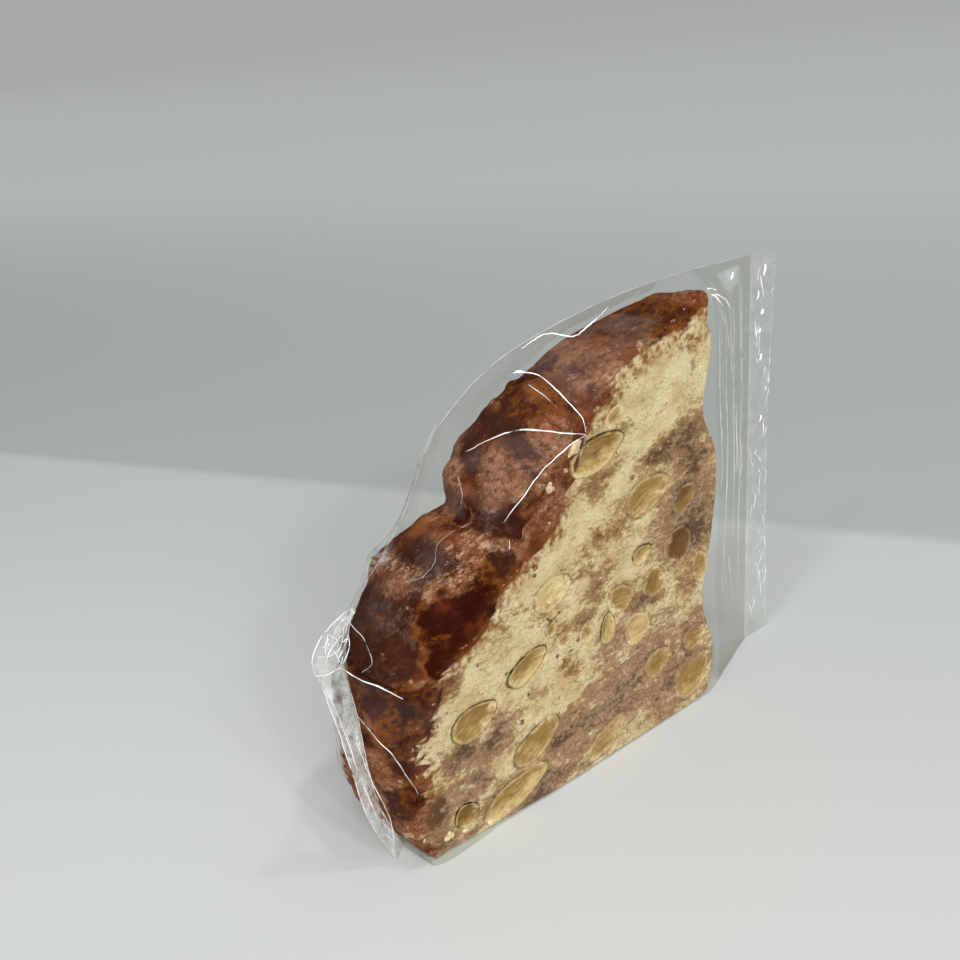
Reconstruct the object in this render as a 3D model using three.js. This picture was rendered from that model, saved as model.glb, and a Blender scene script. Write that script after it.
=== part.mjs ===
// A slice of soft nougat cake standing on its flat base in a clear flow pack: a film tube drawn tight round
// the slice, welded across both ends and along the back. Millimetres, +Z up. While it is built, X = 0 is the
// left end of the slice's flat base, Y = 0 the plane of the front cut face and Z = 0 the surface it stands on.

import * as THREE from 'three';

// ---- driving dimensions ------------------------------------------------------------------------------

const SLICE_HEIGHT = 96; // base to the top corner of the slice
const CUT_LENGTH = 75; // base length of the cut face, from X = 0 to the thin end
const CRUST_THICKNESS = 29; // slice thickness at the crust end
const TIP_THICKNESS = 17; // slice thickness at the thin end
const CRUST_REACH = 13; // how far the crust bulges left of the base
const CRUST_FULLNESS = 2.3; // exponent of the rounded crust section: 2 is an ellipse, more is boxier
const LUMP_HEIGHT = 0.9; // uneven lumps on the crust
const VALLEY_DEPTH = 2.2; // valleys between the crust's three swellings
const VALLEY_WIDTH = 3.5; // half width of a valley

const TUBE_HEIGHT = 98; // height of the flat film tube at its right end
const FILM_FOLD = 1.0; // thickness of the film where its two sheets meet
const CREASE_HEIGHT = 1.3; // tension creases that stand off the crust
const CREASE_WIDTH = 5; // half width of the foot of such a crease

const RIGHT_WELD_X = 94; // inner edge of the right end weld
const WELD_WIDTH = 9; // width of the right end weld
const WELD_CORE = 0.9; // thickness of a weld
const RIB_DEPTH = 0.45; // crest of a crimp rib above the weld's middle
const RIGHT_WELD_Y = 6.5; // depth of the right end weld behind the cut face
const RIGHT_WELD_BOW = 1.5; // how far the middle of its rim bows back
const BACK_FIN_Z = 42; // height of the root of the back weld, which lies folded down
const BACK_FIN_WIDTH = 10; // width of the back weld
const BAND_SLOPE = 1.2; // run over which a band laid on a sheet rises to its full thickness
const CLOSING_SHARE = 0.85; // share of the way out from which the sheets close on their fold
const TENSION_PASSES = 4; // rounds of evening out by which the film's tension smooths its sheets

const COLUMNS = 44; // mesh cells along the film sheets
const ROWS = 44; // mesh cells up the film sheets; every second row is a rib of a weld
const WELD_COLUMNS = 2; // mesh cells across a weld
const FILM_COLOUR = 0xb59a78;

// ---- outlines, as [x, z] unless said otherwise ---------------------------------------------------------

// Edge between crust and crumb on the cut face, from the base up to the top corner.
const CRUST_EDGE = curve([
  [-6, 0], [-8.6, 7], [-5.5, 17], [-5, 28], [0, 37.5], [9, 44.5], [20, 53], [30, 60.5],
  [36.5, 70], [42, 79], [50, 86.3], [62, 89.5], [73.5, 91],
]);
// Crest of the crust half way through the thickness, with a dip between its three swellings.
const CROWN_LINE = curve([
  [-7, 0], [-11, 5], [-CRUST_REACH, 13], [-CRUST_REACH, 25], [-10, 34], [-4, 45], [5, 53.5], [13, 59.5],
  [18.5, 63], [22, 71], [28, 77.5], [38, 84], [52, 90.5], [64, 94.5], [73, SLICE_HEIGHT],
]);
// Thin right end of the slice, from the top corner down to the base.
const THIN_END = curve([
  [74, 94], [CUT_LENGTH, 84], [72.5, 70], [76.5, 60], [CUT_LENGTH, 40], [72, 24], [74, 12], [71, 0],
]);
// Left weld's inner edge, then the fold along the top of the tube, and the left weld's rim, as [x, y, z].
const WELD_ROOT = curve3([
  [-9, 8, 0], [-12.5, 8, 12], [-13.4, 8.5, 24], [-13.4, 9, 34], [-14, 9.5, 46],
]);
const TOP_FOLD = curve3([
  [-14, 9.5, 46], [-8.3, 14, 53.5], [1.7, 18.5, 58], [7.5, 18.5, 64.5], [10, 16.5, 71], [13, 15, 78.5],
  [21, 14, 86], [31, 13, 91.4], [50, 11, 96], [69, 9, TUBE_HEIGHT], [RIGHT_WELD_X, RIGHT_WELD_Y, TUBE_HEIGHT],
]);
const LEFT_WELD_RIM = curve3([
  [-12, 6, 0], [-16, 6.5, 12], [-17.5, 7, 25], [-18.6, 7.5, 37], [-20.4, 8, 50.5],
]);
const LEFT_WELD_NORMAL = new THREE.Vector3(-0.2, -0.95, 0).normalize();
const RIGHT_WELD_NORMAL = new THREE.Vector3(0, -1, 0);
const FOLDED_WELD_POINTS = 27; // of the 80 steps along the top fold, those along the folded half of the weld
// Valleys across the crust, from its crest to the cut face.
const VALLEYS = [
  [[18.5, 63], [24, 61.5], [31, 60]],
  [[-12, 35], [-7, 36.5], [-1, 36]],
];
// Creases of the front sheet, which meet where the crust's ridge pulls it tight.
const RIDGE_POINT = [38.4, 77];
const CREASES = [
  [[31.5, 89], [36.2, 84.2], RIDGE_POINT],
  [[17.4, 77.7], [25.3, 80.3], [32.9, 79], RIDGE_POINT],
  [[18.8, 65.4], [26.4, 71.7], [34.6, 76.5], RIDGE_POINT],
  [[34.5, 92.2], [44.3, 92.7], [54.4, 95.9]],
  [[-14, 45.5], [-9.1, 40.5], [-0.5, 38]],
  [[-13, 33], [-9.8, 23.3], [-7.4, 16]],
];

function curve(points) {
  return curve3(points.map(([x, z]) => [x, 0, z]));
}

function curve3(points) {
  const vectors = points.map(([x, y, z]) => new THREE.Vector3(x, y, z));
  return new THREE.CatmullRomCurve3(vectors, false, 'centripetal');
}

// ---- plane geometry helpers ----------------------------------------------------------------------------

const clamp01 = (value) => Math.min(1, Math.max(0, value));

// Nearest approach of (x, z) to a chain of points: how far, and the depth Y of the chain there.
function approach(chain, x, z) {
  let best = { distance: Infinity, y: 0 };
  for (let i = 0; i + 1 < chain.length; i += 1) {
    const a = chain[i];
    const b = chain[i + 1];
    const run = b.x - a.x;
    const rise = b.z - a.z;
    const along = clamp01(((x - a.x) * run + (z - a.z) * rise) / (run * run + rise * rise));
    const distance = Math.hypot(x - a.x - along * run, z - a.z - along * rise);
    if (distance < best.distance) {
      best = { distance, y: a.y + along * (b.y - a.y) };
    }
  }
  return best;
}

function isInside(polygon, x, z) {
  let inside = false;
  for (let i = 0, j = polygon.length - 1; i < polygon.length; j = i, i += 1) {
    const a = polygon[i];
    const b = polygon[j];
    const crosses = a.z > z !== b.z > z;
    if (crosses && x < ((b.x - a.x) * (z - a.z)) / (b.z - a.z) + a.x) {
      inside = !inside;
    }
  }
  return inside;
}

function smoothMin(a, b, blend) {
  const mix = clamp01(0.5 + (0.5 * (b - a)) / blend);
  return b * (1 - mix) + a * mix - blend * mix * (1 - mix);
}

// ---- the slice -----------------------------------------------------------------------------------------

const crustEdge = CRUST_EDGE.getSpacedPoints(60);
const crownLine = CROWN_LINE.getSpacedPoints(60);
const thinEnd = THIN_END.getSpacedPoints(30);
const cutFace = [...crustEdge, ...thinEnd];
const crownFace = [...crownLine, ...thinEnd];

function sliceThickness(x) {
  const along = clamp01((x + CRUST_REACH) / (CUT_LENGTH + CRUST_REACH));
  return CRUST_THICKNESS + along * (TIP_THICKNESS - CRUST_THICKNESS);
}

const valleyChains = VALLEYS.map((points) => curve(points).getSpacedPoints(8));

function nearestOf(chains, x, z) {
  return Math.min(...chains.map((chain) => approach(chain, x, z).distance));
}

// Depth of the crust's rounded surface behind the cut face; beyond its crest there is none.
function crustDepth(x, z, beyondCut) {
  if (!isInside(crownFace, x, z) || x > THIN_END.points[0].x) {
    return CRUST_THICKNESS;
  }
  const toCrest = approach(crownLine, x, z).distance;
  const share = beyondCut / (beyondCut + toCrest + 1e-6);
  const roundness = (1 - share ** CRUST_FULLNESS) ** (1 / CRUST_FULLNESS);
  const valley = VALLEY_DEPTH * Math.exp(-((nearestOf(valleyChains, x, z) / VALLEY_WIDTH) ** 2));
  return (sliceThickness(x) / 2) * (1 - roundness) + valley * Math.sin(Math.PI * share);
}

function lumps(x, z, side) {
  const coarse = Math.sin(0.42 * x + 1.3 * side) * Math.sin(0.37 * z + 0.8);
  const fine = Math.sin(0.83 * x - 0.55 * z + side) * Math.cos(0.71 * z + 0.4 * x);
  return LUMP_HEIGHT * (0.6 * coarse + 0.4 * fine);
}

// ---- the film ------------------------------------------------------------------------------------------

const filmEdge = [
  ...WELD_ROOT.getSpacedPoints(24),
  ...TOP_FOLD.getSpacedPoints(80),
  new THREE.Vector3(RIGHT_WELD_X, RIGHT_WELD_Y, 0),
];
const foldedWeld = TOP_FOLD.getSpacedPoints(80).slice(0, FOLDED_WELD_POINTS);
const creaseChains = CREASES.map((points) => curve(points).getSpacedPoints(12));

function creaseHeight(x, z) {
  return CREASE_HEIGHT * Math.max(0, 1 - nearestOf(creaseChains, x, z) / CREASE_WIDTH);
}

// Height of a band that lies on a sheet, as a function of the distance in from its edge.
function band(distance) {
  return WELD_CORE * clamp01(distance / BAND_SLOPE);
}

// The back sheet carries the fin along the tube, folded down, and the upper half of the left weld, which is
// folded over the crest of the crust.
function backRelief(x, z) {
  const fin = Math.min(BACK_FIN_Z - z, z - (BACK_FIN_Z - BACK_FIN_WIDTH));
  const weld = WELD_WIDTH - approach(foldedWeld, x, z).distance;
  return Math.max(band(fin), band(weld));
}

// Share of the way from the cut face out to the film's fold or weld, and the depth of that fold.
function wayOut(x, z) {
  if (isInside(cutFace, x, z)) {
    return { share: 0, beyondCut: 0, foldY: 0 };
  }
  const beyondCut = approach(cutFace, x, z).distance;
  const edge = approach(filmEdge, x, z);
  return { share: beyondCut / (beyondCut + edge.distance + 1e-6), beyondCut, foldY: edge.y };
}

// Depths of the taut front and back sheet at one place: on the cut faces where the slice fills the tube, on
// the crust where that stands proud, and straight to the fold or weld where nothing fills the film.
function tautDepths(x, z) {
  const thickness = sliceThickness(x);
  const { share, beyondCut, foldY } = wayOut(x, z);
  if (share === 0) {
    return [0, thickness];
  }
  const crust = crustDepth(x, z, beyondCut);
  const closing = clamp01((share - CLOSING_SHARE) / (1 - CLOSING_SHARE));
  const depthOf = (fold) => {
    const film = smoothMin(fold * share, crust, 1);
    return Math.min(fold, film + closing * (fold - film));
  };
  return [depthOf(foldY - FILM_FOLD / 2), thickness - depthOf(thickness - foldY - FILM_FOLD / 2)];
}

// What stands off the taut sheets: lumps and creases in front, lumps and the folded welds on the back.
function reliefs(x, z) {
  const { share } = wayOut(x, z);
  const loose = Math.sin(Math.PI * share);
  const front = loose * (lumps(x, z, 0) + creaseHeight(x, z));
  const back = loose * lumps(x, z, 2) + (1 - share) * backRelief(x, z);
  return [front, back];
}

// Place on the sheets for u from the left weld to the right weld and v from the base to the top fold.
function sheetPlace(u, v) {
  const start = WELD_ROOT.points[0];
  const corner = TOP_FOLD.points[0];
  const left = WELD_ROOT.getPointAt(v);
  const top = TOP_FOLD.getPointAt(u);
  const baseX = start.x + u * (RIGHT_WELD_X - start.x);
  const bulge = left.clone().sub(start.clone().lerp(corner, v)).multiplyScalar(1 - u);
  return { x: (1 - v) * baseX + v * top.x + bulge.x, z: v * top.z + bulge.z };
}

// The film's sheets as a grid of places with both depths, evened out by tension off the cut faces.
function filmSheets() {
  const columns = Array.from({ length: COLUMNS + 1 }, (_, i) => i / COLUMNS);
  const rows = Array.from({ length: ROWS + 1 }, (_, j) => j / ROWS);
  let sheets = columns.map((u) => rows.map((v) => {
    const { x, z } = sheetPlace(u, v);
    return { x, z, depths: tautDepths(x, z), fixed: isInside(cutFace, x, z) };
  }));
  for (let pass = 0; pass < TENSION_PASSES; pass += 1) {
    sheets = sheets.map((column, i) => column.map((place, j) => {
      if (place.fixed || i === 0 || i === COLUMNS || j === 0 || j === ROWS) {
        return place;
      }
      const around = [sheets[i - 1][j], sheets[i + 1][j], column[j - 1], column[j + 1]];
      const depths = place.depths.map((depth, side) => {
        const mean = around.reduce((sum, other) => sum + other.depths[side], 0) / around.length;
        return (depth + mean) / 2;
      });
      return { ...place, depths };
    }));
  }
  return sheets;
}

const sheets = filmSheets();

function sheetPair(column, row) {
  const { x, z, depths } = sheets[column][row];
  const [frontRelief, backBand] = reliefs(x, z);
  return [new THREE.Vector3(x, depths[0] - frontRelief, z), new THREE.Vector3(x, depths[1] + backBand, z)];
}

// The front and the back face of a weld at the share t from its root to its rim, on one row of the mesh.
// Every second row is the crest of a crimp rib that crosses the weld.
function weldPair(root, rim, t, row, frontNormal) {
  const wave = t > 0 && row > 0 && row < ROWS ? RIB_DEPTH * (row % 2 === 0 ? 1 : -1) : 0;
  const middle = root.clone().lerp(rim, t);
  return [wave + WELD_CORE / 2, wave - WELD_CORE / 2].map((lift) => {
    const point = middle.clone().addScaledVector(frontNormal, lift);
    point.z = Math.max(0, point.z);
    return point;
  });
}

function leftWeldPair(t, row) {
  const v = row / ROWS;
  return weldPair(WELD_ROOT.getPointAt(v), LEFT_WELD_RIM.getPointAt(v), t, row, LEFT_WELD_NORMAL);
}

function rightWeldPair(t, row) {
  const z = (TUBE_HEIGHT * row) / ROWS;
  const bow = RIGHT_WELD_BOW * Math.sin((Math.PI * row) / ROWS);
  const root = new THREE.Vector3(RIGHT_WELD_X, RIGHT_WELD_Y, z);
  const rim = new THREE.Vector3(RIGHT_WELD_X + WELD_WIDTH, RIGHT_WELD_Y + bow, z);
  return weldPair(root, rim, t, row, RIGHT_WELD_NORMAL);
}

// One column of the pack's mesh, from the left weld's rim over the sheets to the right weld's rim.
function packColumn(column) {
  const rows = Array.from({ length: ROWS + 1 }, (_, row) => row);
  if (column < WELD_COLUMNS) {
    return rows.map((row) => leftWeldPair(1 - column / WELD_COLUMNS, row));
  }
  if (column > WELD_COLUMNS + COLUMNS) {
    return rows.map((row) => rightWeldPair((column - WELD_COLUMNS - COLUMNS) / WELD_COLUMNS, row));
  }
  return rows.map((row) => sheetPair(column - WELD_COLUMNS, row));
}

function addQuad(indices, a, b, c, d) {
  indices.push(a, b, c, a, c, d);
}

// The pack's closed skin: front and back sheet, flat underside, top fold and the rims of the two welds.
function packSkin() {
  const last = COLUMNS + 2 * WELD_COLUMNS;
  const positions = [];
  for (let i = 0; i <= last; i += 1) {
    packColumn(i).flat().forEach((point) => positions.push(point.x, point.y, point.z));
  }
  const front = (i, j) => 2 * (i * (ROWS + 1) + j);
  const back = (i, j) => front(i, j) + 1;
  const indices = [];
  for (let i = 0; i < last; i += 1) {
    for (let j = 0; j < ROWS; j += 1) {
      addQuad(indices, front(i, j), front(i + 1, j), front(i + 1, j + 1), front(i, j + 1));
      addQuad(indices, back(i, j), back(i, j + 1), back(i + 1, j + 1), back(i + 1, j));
    }
    addQuad(indices, front(i, 0), back(i, 0), back(i + 1, 0), front(i + 1, 0));
    addQuad(indices, front(i, ROWS), front(i + 1, ROWS), back(i + 1, ROWS), back(i, ROWS));
  }
  for (let j = 0; j < ROWS; j += 1) {
    addQuad(indices, front(0, j), front(0, j + 1), back(0, j + 1), back(0, j));
    addQuad(indices, front(last, j), back(last, j), back(last, j + 1), front(last, j + 1));
  }
  const skin = new THREE.BufferGeometry();
  skin.setAttribute('position', new THREE.Float32BufferAttribute(positions, 3));
  skin.setIndex(indices);
  return skin;
}

function sealedPack() {
  const skin = packSkin();
  skin.computeBoundingBox();
  const { min, max } = skin.boundingBox;
  skin.translate(-(min.x + max.x) / 2, -(min.y + max.y) / 2, 0);
  skin.computeVertexNormals();
  const film = new THREE.MeshStandardMaterial({ color: FILM_COLOUR, roughness: 0.2, metalness: 0 });
  const mesh = new THREE.Mesh(skin, film);
  mesh.name = 'sealed_pack';
  return mesh;
}

const object = new THREE.Group();
object.add(sealedPack());

export default object;
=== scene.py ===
"""A slice of soft nougat with a cocoa crust, standing in its clear flow pack on a pale floor.

Lengths are millimetres in the slice's own frame: X = 0 is the left end of its flat base, Y = 0 the plane of
the front cut face, with Y growing to the back, and Z = 0 the surface it stands on. put() turns such points
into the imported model's frame, in metres.
"""

import math

import bpy
import numpy as np
from mathutils import Euler, Matrix, Vector


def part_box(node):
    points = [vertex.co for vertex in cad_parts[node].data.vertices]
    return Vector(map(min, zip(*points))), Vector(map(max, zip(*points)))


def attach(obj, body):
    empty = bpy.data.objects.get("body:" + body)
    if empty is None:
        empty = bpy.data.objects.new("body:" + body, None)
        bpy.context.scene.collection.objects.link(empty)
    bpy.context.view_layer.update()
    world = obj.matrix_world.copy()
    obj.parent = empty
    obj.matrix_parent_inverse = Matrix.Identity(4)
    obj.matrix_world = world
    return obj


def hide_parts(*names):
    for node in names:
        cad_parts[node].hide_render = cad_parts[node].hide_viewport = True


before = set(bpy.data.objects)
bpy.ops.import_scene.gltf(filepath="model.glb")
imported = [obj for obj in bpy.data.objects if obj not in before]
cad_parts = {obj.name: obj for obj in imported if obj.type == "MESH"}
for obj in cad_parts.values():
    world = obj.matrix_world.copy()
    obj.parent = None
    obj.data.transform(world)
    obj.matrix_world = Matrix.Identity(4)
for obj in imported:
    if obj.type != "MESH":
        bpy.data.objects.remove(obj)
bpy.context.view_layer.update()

# ---- outlines of the slice and its pack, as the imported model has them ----

CUT_LENGTH = 75  # base length of the cut face
CRUST_THICKNESS = 29  # slice thickness at the crust end
TIP_THICKNESS = 17  # slice thickness at the thin end
CRUST_REACH = 13  # how far the crust bulges left of the base
CRUST_FULLNESS = 2.3  # exponent of the rounded crust section
TUBE_HEIGHT = 98  # height of the film tube at its right end
RIGHT_WELD_X = 94  # inner edge of the right end weld
WELD_WIDTH = 9
RIGHT_WELD_Y = 6.5
RIGHT_WELD_BOW = 1.5
FIN_Z = 42  # root of the fin weld on the back, which lies folded down
FIN_WIDTH = 10

CRUST_EDGE = [
    (-6, 0), (-8.6, 7), (-5.5, 17), (-5, 28), (0, 37.5), (9, 44.5), (20, 53), (30, 60.5), (36.5, 70),
    (42, 79), (50, 86.3), (62, 89.5), (73.5, 91),
]
CROWN_LINE = [
    (-7, 0), (-11, 5), (-13, 13), (-13, 25), (-11.5, 36), (-7, 47), (-1.6, 54.5), (6, 61), (11, 63.4),
    (15.2, 65.2), (17.2, 72), (23, 78), (36, 85.3), (50, 88.6), (62, 91.6), (69, 93.6), (74, 94.6),
]
BASE_AND_THIN_END = [
    (-6, 0), (8, 0), (24, 0), (40, 0), (56, 0), (67, 0), (70.6, 0.8), (72.3, 4), (74, 12), (72, 24),
    (75, 40), (76.5, 60), (72.5, 70), (75, 84), (74, 91),
]
WELD_ROOT = [(-9, 8, 0), (-12.5, 8, 12), (-13.4, 8.5, 24), (-13.4, 9, 34), (-14, 9.5, 46)]
LEFT_WELD_RIM = [(-12, 6, 0), (-16, 6.5, 12), (-17.5, 7, 25), (-18.6, 7.5, 37), (-20.4, 8, 50.5)]
TOP_FOLD = [
    (-14, 9.5, 46), (-8.3, 14, 53.5), (1.7, 18.5, 58), (7.5, 18.5, 64.5), (10, 16.5, 71), (13, 15, 78.5),
    (21, 14, 86), (31, 13, 91.4), (50, 11, 96), (69, 9, 98), (94, 6.5, 98),
]
# Valleys between the crust's swellings: half width, depth and points.
VALLEYS = [
    (1.7, 1.3, [(17.5, 64.6), (24, 61.5), (31, 60)]),
    (0.7, 1.5, [(-12.5, 41), (-7.3, 38.6), (-3.8, 38.2), (-0.5, 37.8)]),
    (2.6, 0.8, [(-13, 38), (-8, 35.5), (-3, 34.5)]),
]
# Creases of the film, where it stands off the slice: radius of its painted highlight line, its brightness,
# and points.
CREASES = [
    (0.3, 1, [(30.9, 10.6, 88.8), (31.8, 10.2, 88.9), (32.8, 9.5, 88.7)]),
    (0.2, 1, [(31.5, 10.4, 89.1), (34.5, 8.3, 87.9), (36.2, 4.9, 84.2), (38.2, 0.9, 79.4),
        (38.5, 0.2, 77.2)]),
    (0.21, 1, [(17.4, 12.3, 77.7), (25.3, 8.4, 80.3), (29.7, 5.9, 80.2), (32.9, 3.4, 79),
        (38.4, 0.2, 76.8)]),
    (0.18, 1, [(38.4, 0.2, 76.6), (34.6, 1, 76.5), (31.4, 1.8, 75.2), (26.4, 3.7, 71.7),
        (18.8, 7.9, 65.4)]),
    (0.21, 1, [(34.5, 11.8, 92.2), (40.7, 9.8, 93.9), (44.3, 8.9, 92.7), (49.5, 8.8, 94.1),
        (54.4, 9.1, 95.9)]),
    (0.12, 0.7, [(-13.3, 8.4, 34.2), (-12.4, 7.2, 30.9), (-11, 4.8, 28), (-9.6, 1.8, 23.4),
        (-8.2, 0.4, 18.5)]),
    (0.18, 1, [(-15.1, 8.9, 46.2), (-11.7, 7.9, 42.3), (-9.1, 5.3, 40.5), (-7.1, 3.9, 38.6)]),
    (0.12, 0.7, [(32, 8.3, 86.9), (33.4, 6.4, 84.6), (34, 5, 82.9)]),
    (0.13, 0.8, [(19.1, 5.4, 61.7), (18.9, 4.6, 60.7), (18.6, 3.8, 59.7)]),
    (0.09, 0.45, [(14.7, 12.9, 74.1), (13.9, 12.6, 70.8), (13, 13.1, 68.8)]),
    (0.08, 0.35, [(13.3, 12.3, 66.3), (9.9, 15.2, 64), (5.2, 16.9, 59.2), (0.3, 17, 56.6)]),
    (0.12, 0.7, [(-10.9, 10.5, 54.2), (-10.2, 8.6, 51.8), (-9.8, 7, 48.4), (-10, 6.6, 45.6),
        (-12, 7, 44.6)]),
    (0.16, 0.9, [(75.5, 4.6, 95.4), (78, 4.6, 94.9), (80.7, 4.5, 93.8)]),
    (0.2, 0.9, [(79, 4.6, 93.6), (82.9, 4.4, 91.6), (85, 4.6, 89)]),
    (0.28, 0.8, [(77.2, 4.6, 94), (79.6, 4.6, 92.6), (81.6, 4.6, 90.4)]),
    (0.1, 0.35, [(78.5, 3.4, 88), (79.3, 3.4, 70), (78.8, 3.6, 50)]),
    (0.1, 0.3, [(82, 4.2, 86), (82.6, 4.2, 66), (82, 4.2, 40), (81, 4.2, 22)]),
    (0.1, 0.35, [(86.5, 5, 90), (86.2, 5, 62), (86.8, 5, 34)]),
    (0.1, 0.3, [(90, 5.6, 92), (90.3, 5.6, 70), (89.8, 5.6, 44), (90.2, 5.6, 14)]),
]
# Loose corner of film over the left weld: its outer edge, and the line where it leaves the tube.
CORNER_EDGE = [
    (-20.8, 7.6, 48.4), (-20.3, 8, 51.4), (-17.6, 8.8, 54), (-14.6, 9.8, 54.9), (-11.6, 11.4, 54.8),
    (-8.3, 13.8, 53.7),
]
CORNER_ROOT = [(-14.6, 8.9, 46.2), (-12.4, 10.2, 48.6), (-10.4, 11.9, 51), (-8.3, 13.8, 53.4)]
# Facets of the front sheet with painted sheen, milky white for the light they reflect: how milky they are,
# and their outlines.
SHEEN_FACETS = [
    (0.024, [
        (17.4, 77.7), (25.3, 80.3), (29.7, 80.2), (32.9, 79), (38.4, 76.8), (34.6, 76.5), (31.4, 75.2),
        (26.4, 71.7),
        (18.8, 65.4), (15.5, 66), (14, 71), (15, 76),
    ]),
    (0.03, [
        (31.5, 89.1), (34.5, 87.9), (36.2, 84.2), (38.2, 79.4), (41, 81), (47, 87), (57, 90), (62, 93),
        (56, 95),
        (49, 94.2), (44, 92.7), (40, 93.5), (34.5, 92.2),
    ]),
    (0.014, [
        (-14, 46), (-7.1, 38.8), (-1, 36.5), (-1.5, 30), (-4.5, 22), (-8.2, 18.5), (-9.6, 23.4), (-11, 28),
        (-12.4, 30.9), (-13.3, 34.2),
    ]),
    (0.03, [(-12, 0), (-13, 3), (0, 2.6), (20, 2.4), (40, 2), (40, 0)]),
    (0.018, [(-12, 52), (-6, 50), (2, 55), (10, 61), (9, 66), (4, 60), (-6, 54.5)]),
    (0.026, [(13, 66), (17, 78), (24, 86), (34, 91), (31, 93), (20, 88), (12, 78), (9, 68)]),
    (0.11, [(79, 96), (81, 96), (80.6, 78), (81, 60), (79.4, 60), (78.6, 78)]),
    (0.08, [(84, 95), (86.4, 95), (86, 70), (85.6, 44), (84, 44), (84.4, 70)]),
    (0.09, [(89, 96), (91.4, 96), (91, 64), (90.8, 30), (89, 30), (89.6, 64)]),
    (0.2, [(83, 96.5), (91, 97), (90, 93), (86, 91), (83.6, 93)]),
]
# Edges of the film with a painted highlight: radius of the bright line, its brightness, and points.
EDGE_HIGHLIGHTS = [
    (0.08, 0.3, TOP_FOLD), (0.12, 0.5, WELD_ROOT), (0.14, 0.85, LEFT_WELD_RIM),
    (0.1, 0.8, [(-20, 6.8, 47.4), (-18.9, 6.6, 42.6), (-17.4, 6.5, 32.5), (-16.2, 6.2, 22),
        (-14.2, 6, 10)]),
    (0.12, 0.8, [(-15.3, 7.4, 31), (-14, 6.8, 21), (-12.2, 6.6, 12.7), (-11.6, 6.5, 8.7), (-12, 6, 4)]),
    (0.1, 0.6, [(-16.2, 6.5, 25.6), (-15.3, 6.5, 17.8), (-14.5, 6.2, 11.8)]),
    (0.16, 0.9, [(-20.8, 7.4, 48.2), (-18.6, 7.2, 47.4), (-16.4, 7.6, 47.2), (-14.6, 8.4, 46.6)]),
    (0.14, 0.9, CORNER_EDGE),
    (0.13, 0.8, [(-14.9, 8.4, 46.8), (-13.8, 7.8, 49), (-12.7, 8.2, 50.6), (-12.4, 8.6, 52.4)]),
    (0.1, 0.7, [(-19.6, 7.8, 51.6), (-17.4, 7.6, 50.6), (-15, 7.8, 50.8), (-12.8, 9, 53.8)]),
    (0.1, 0.7, [(-18.4, 7.6, 53.2), (-16.2, 7.7, 51), (-15.4, 7.8, 48)]),
    (0.09, 0.6, [(-16.4, 8.6, 54.4), (-14.6, 8.2, 52.2), (-12.6, 8.6, 51)]),
    (0.22, 1, [(-14, 7.9, 51.8), (-13.4, 7.8, 52.1), (-12.9, 8, 51.8)]),
    (0.08, 0.3, [(103, 6.6, 0.5), (103, 7.6, 30), (103, 7.9, 49), (103, 7.6, 70), (103, 6.6, 97.5)]),
    (0.08, 0.25, [(94, 5.9, 1), (94, 5.9, 50), (94, 5.9, 97)]),
]

# ---- curves, distances and noise ----


def xyz(x, y, z):
    """Points from their coordinates."""
    return np.stack(np.broadcast_arrays(x, y, z), axis=-1)


def axes(points):
    """The x, y and z of points."""
    return np.moveaxis(points, -1, 0)


def turned(x, z, degrees):
    """Lengths along and across the direction that lies at degrees from X towards Z."""
    cos, sin = math.cos(math.radians(degrees)), math.sin(math.radians(degrees))
    return x * cos + z * sin, z * cos - x * sin


def curve(points, count):
    """Points at equal steps along the centripetal Catmull-Rom curve through the given ones."""
    knots = np.array(points, float)
    padded = np.vstack([2 * knots[0] - knots[1], knots, 2 * knots[-1] - knots[-2]])
    dense = []
    for a, b, c, d in zip(padded, padded[1:], padded[2:], padded[3:]):
        t1 = np.linalg.norm(b - a) ** 0.5
        t2 = t1 + np.linalg.norm(c - b) ** 0.5
        t3 = t2 + np.linalg.norm(d - c) ** 0.5
        t = np.linspace(t1, t2, 24, endpoint=False)[:, None]
        ab = a + (b - a) * t / t1
        bc = b + (c - b) * (t - t1) / (t2 - t1)
        cd = c + (d - c) * (t - t2) / (t3 - t2)
        abc = ab + (bc - ab) * t / t2
        bcd = bc + (cd - bc) * (t - t1) / (t3 - t1)
        dense.append(abc + (bcd - abc) * (t - t1) / (t2 - t1))
    dense = np.vstack([*dense, knots[-1]])
    steps = np.r_[0, np.cumsum(np.linalg.norm(np.diff(dense, axis=0), axis=1))]
    wanted = np.linspace(0, steps[-1], count)
    return np.stack([np.interp(wanted, steps, axis) for axis in dense.T], axis=1)


def approach(chain, x, z):
    """Distance from each place (x, z) to a chain, and how far along it the nearest point is, 0 to 1."""
    best = np.full(np.shape(x), np.inf)
    along = np.zeros(np.shape(x))
    for i, (a, b) in enumerate(zip(chain, chain[1:])):
        run, rise = b[0] - a[0], b[-1] - a[-1]
        t = np.clip(((x - a[0]) * run + (z - a[-1]) * rise) / (run * run + rise * rise), 0, 1)
        distance = np.hypot(x - a[0] - t * run, z - a[-1] - t * rise)
        nearer = distance < best
        best = np.where(nearer, distance, best)
        along = np.where(nearer, (i + t) / (len(chain) - 1), along)
    return best, along


def inside(polygon, x, z):
    """Whether each place (x, z) is inside the polygon."""
    crossings = np.zeros(np.shape(x), int)
    for a, b in zip(polygon, np.roll(polygon, 1, axis=0)):
        spans = (a[1] > z) != (b[1] > z)
        rise = b[1] - a[1] if b[1] != a[1] else 1
        crossings += spans & (x < (b[0] - a[0]) * (z - a[1]) / rise + a[0])
    return crossings % 2 == 1


def smooth_step(value, low, high):
    """0 up to low, 1 from high on, and a smooth rise between; low may lie above high."""
    t = np.clip((value - low) / (high - low), 0, 1)
    return t * t * (3 - 2 * t)


RANDOM_TABLE = np.random.default_rng(7).random(4096)


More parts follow.
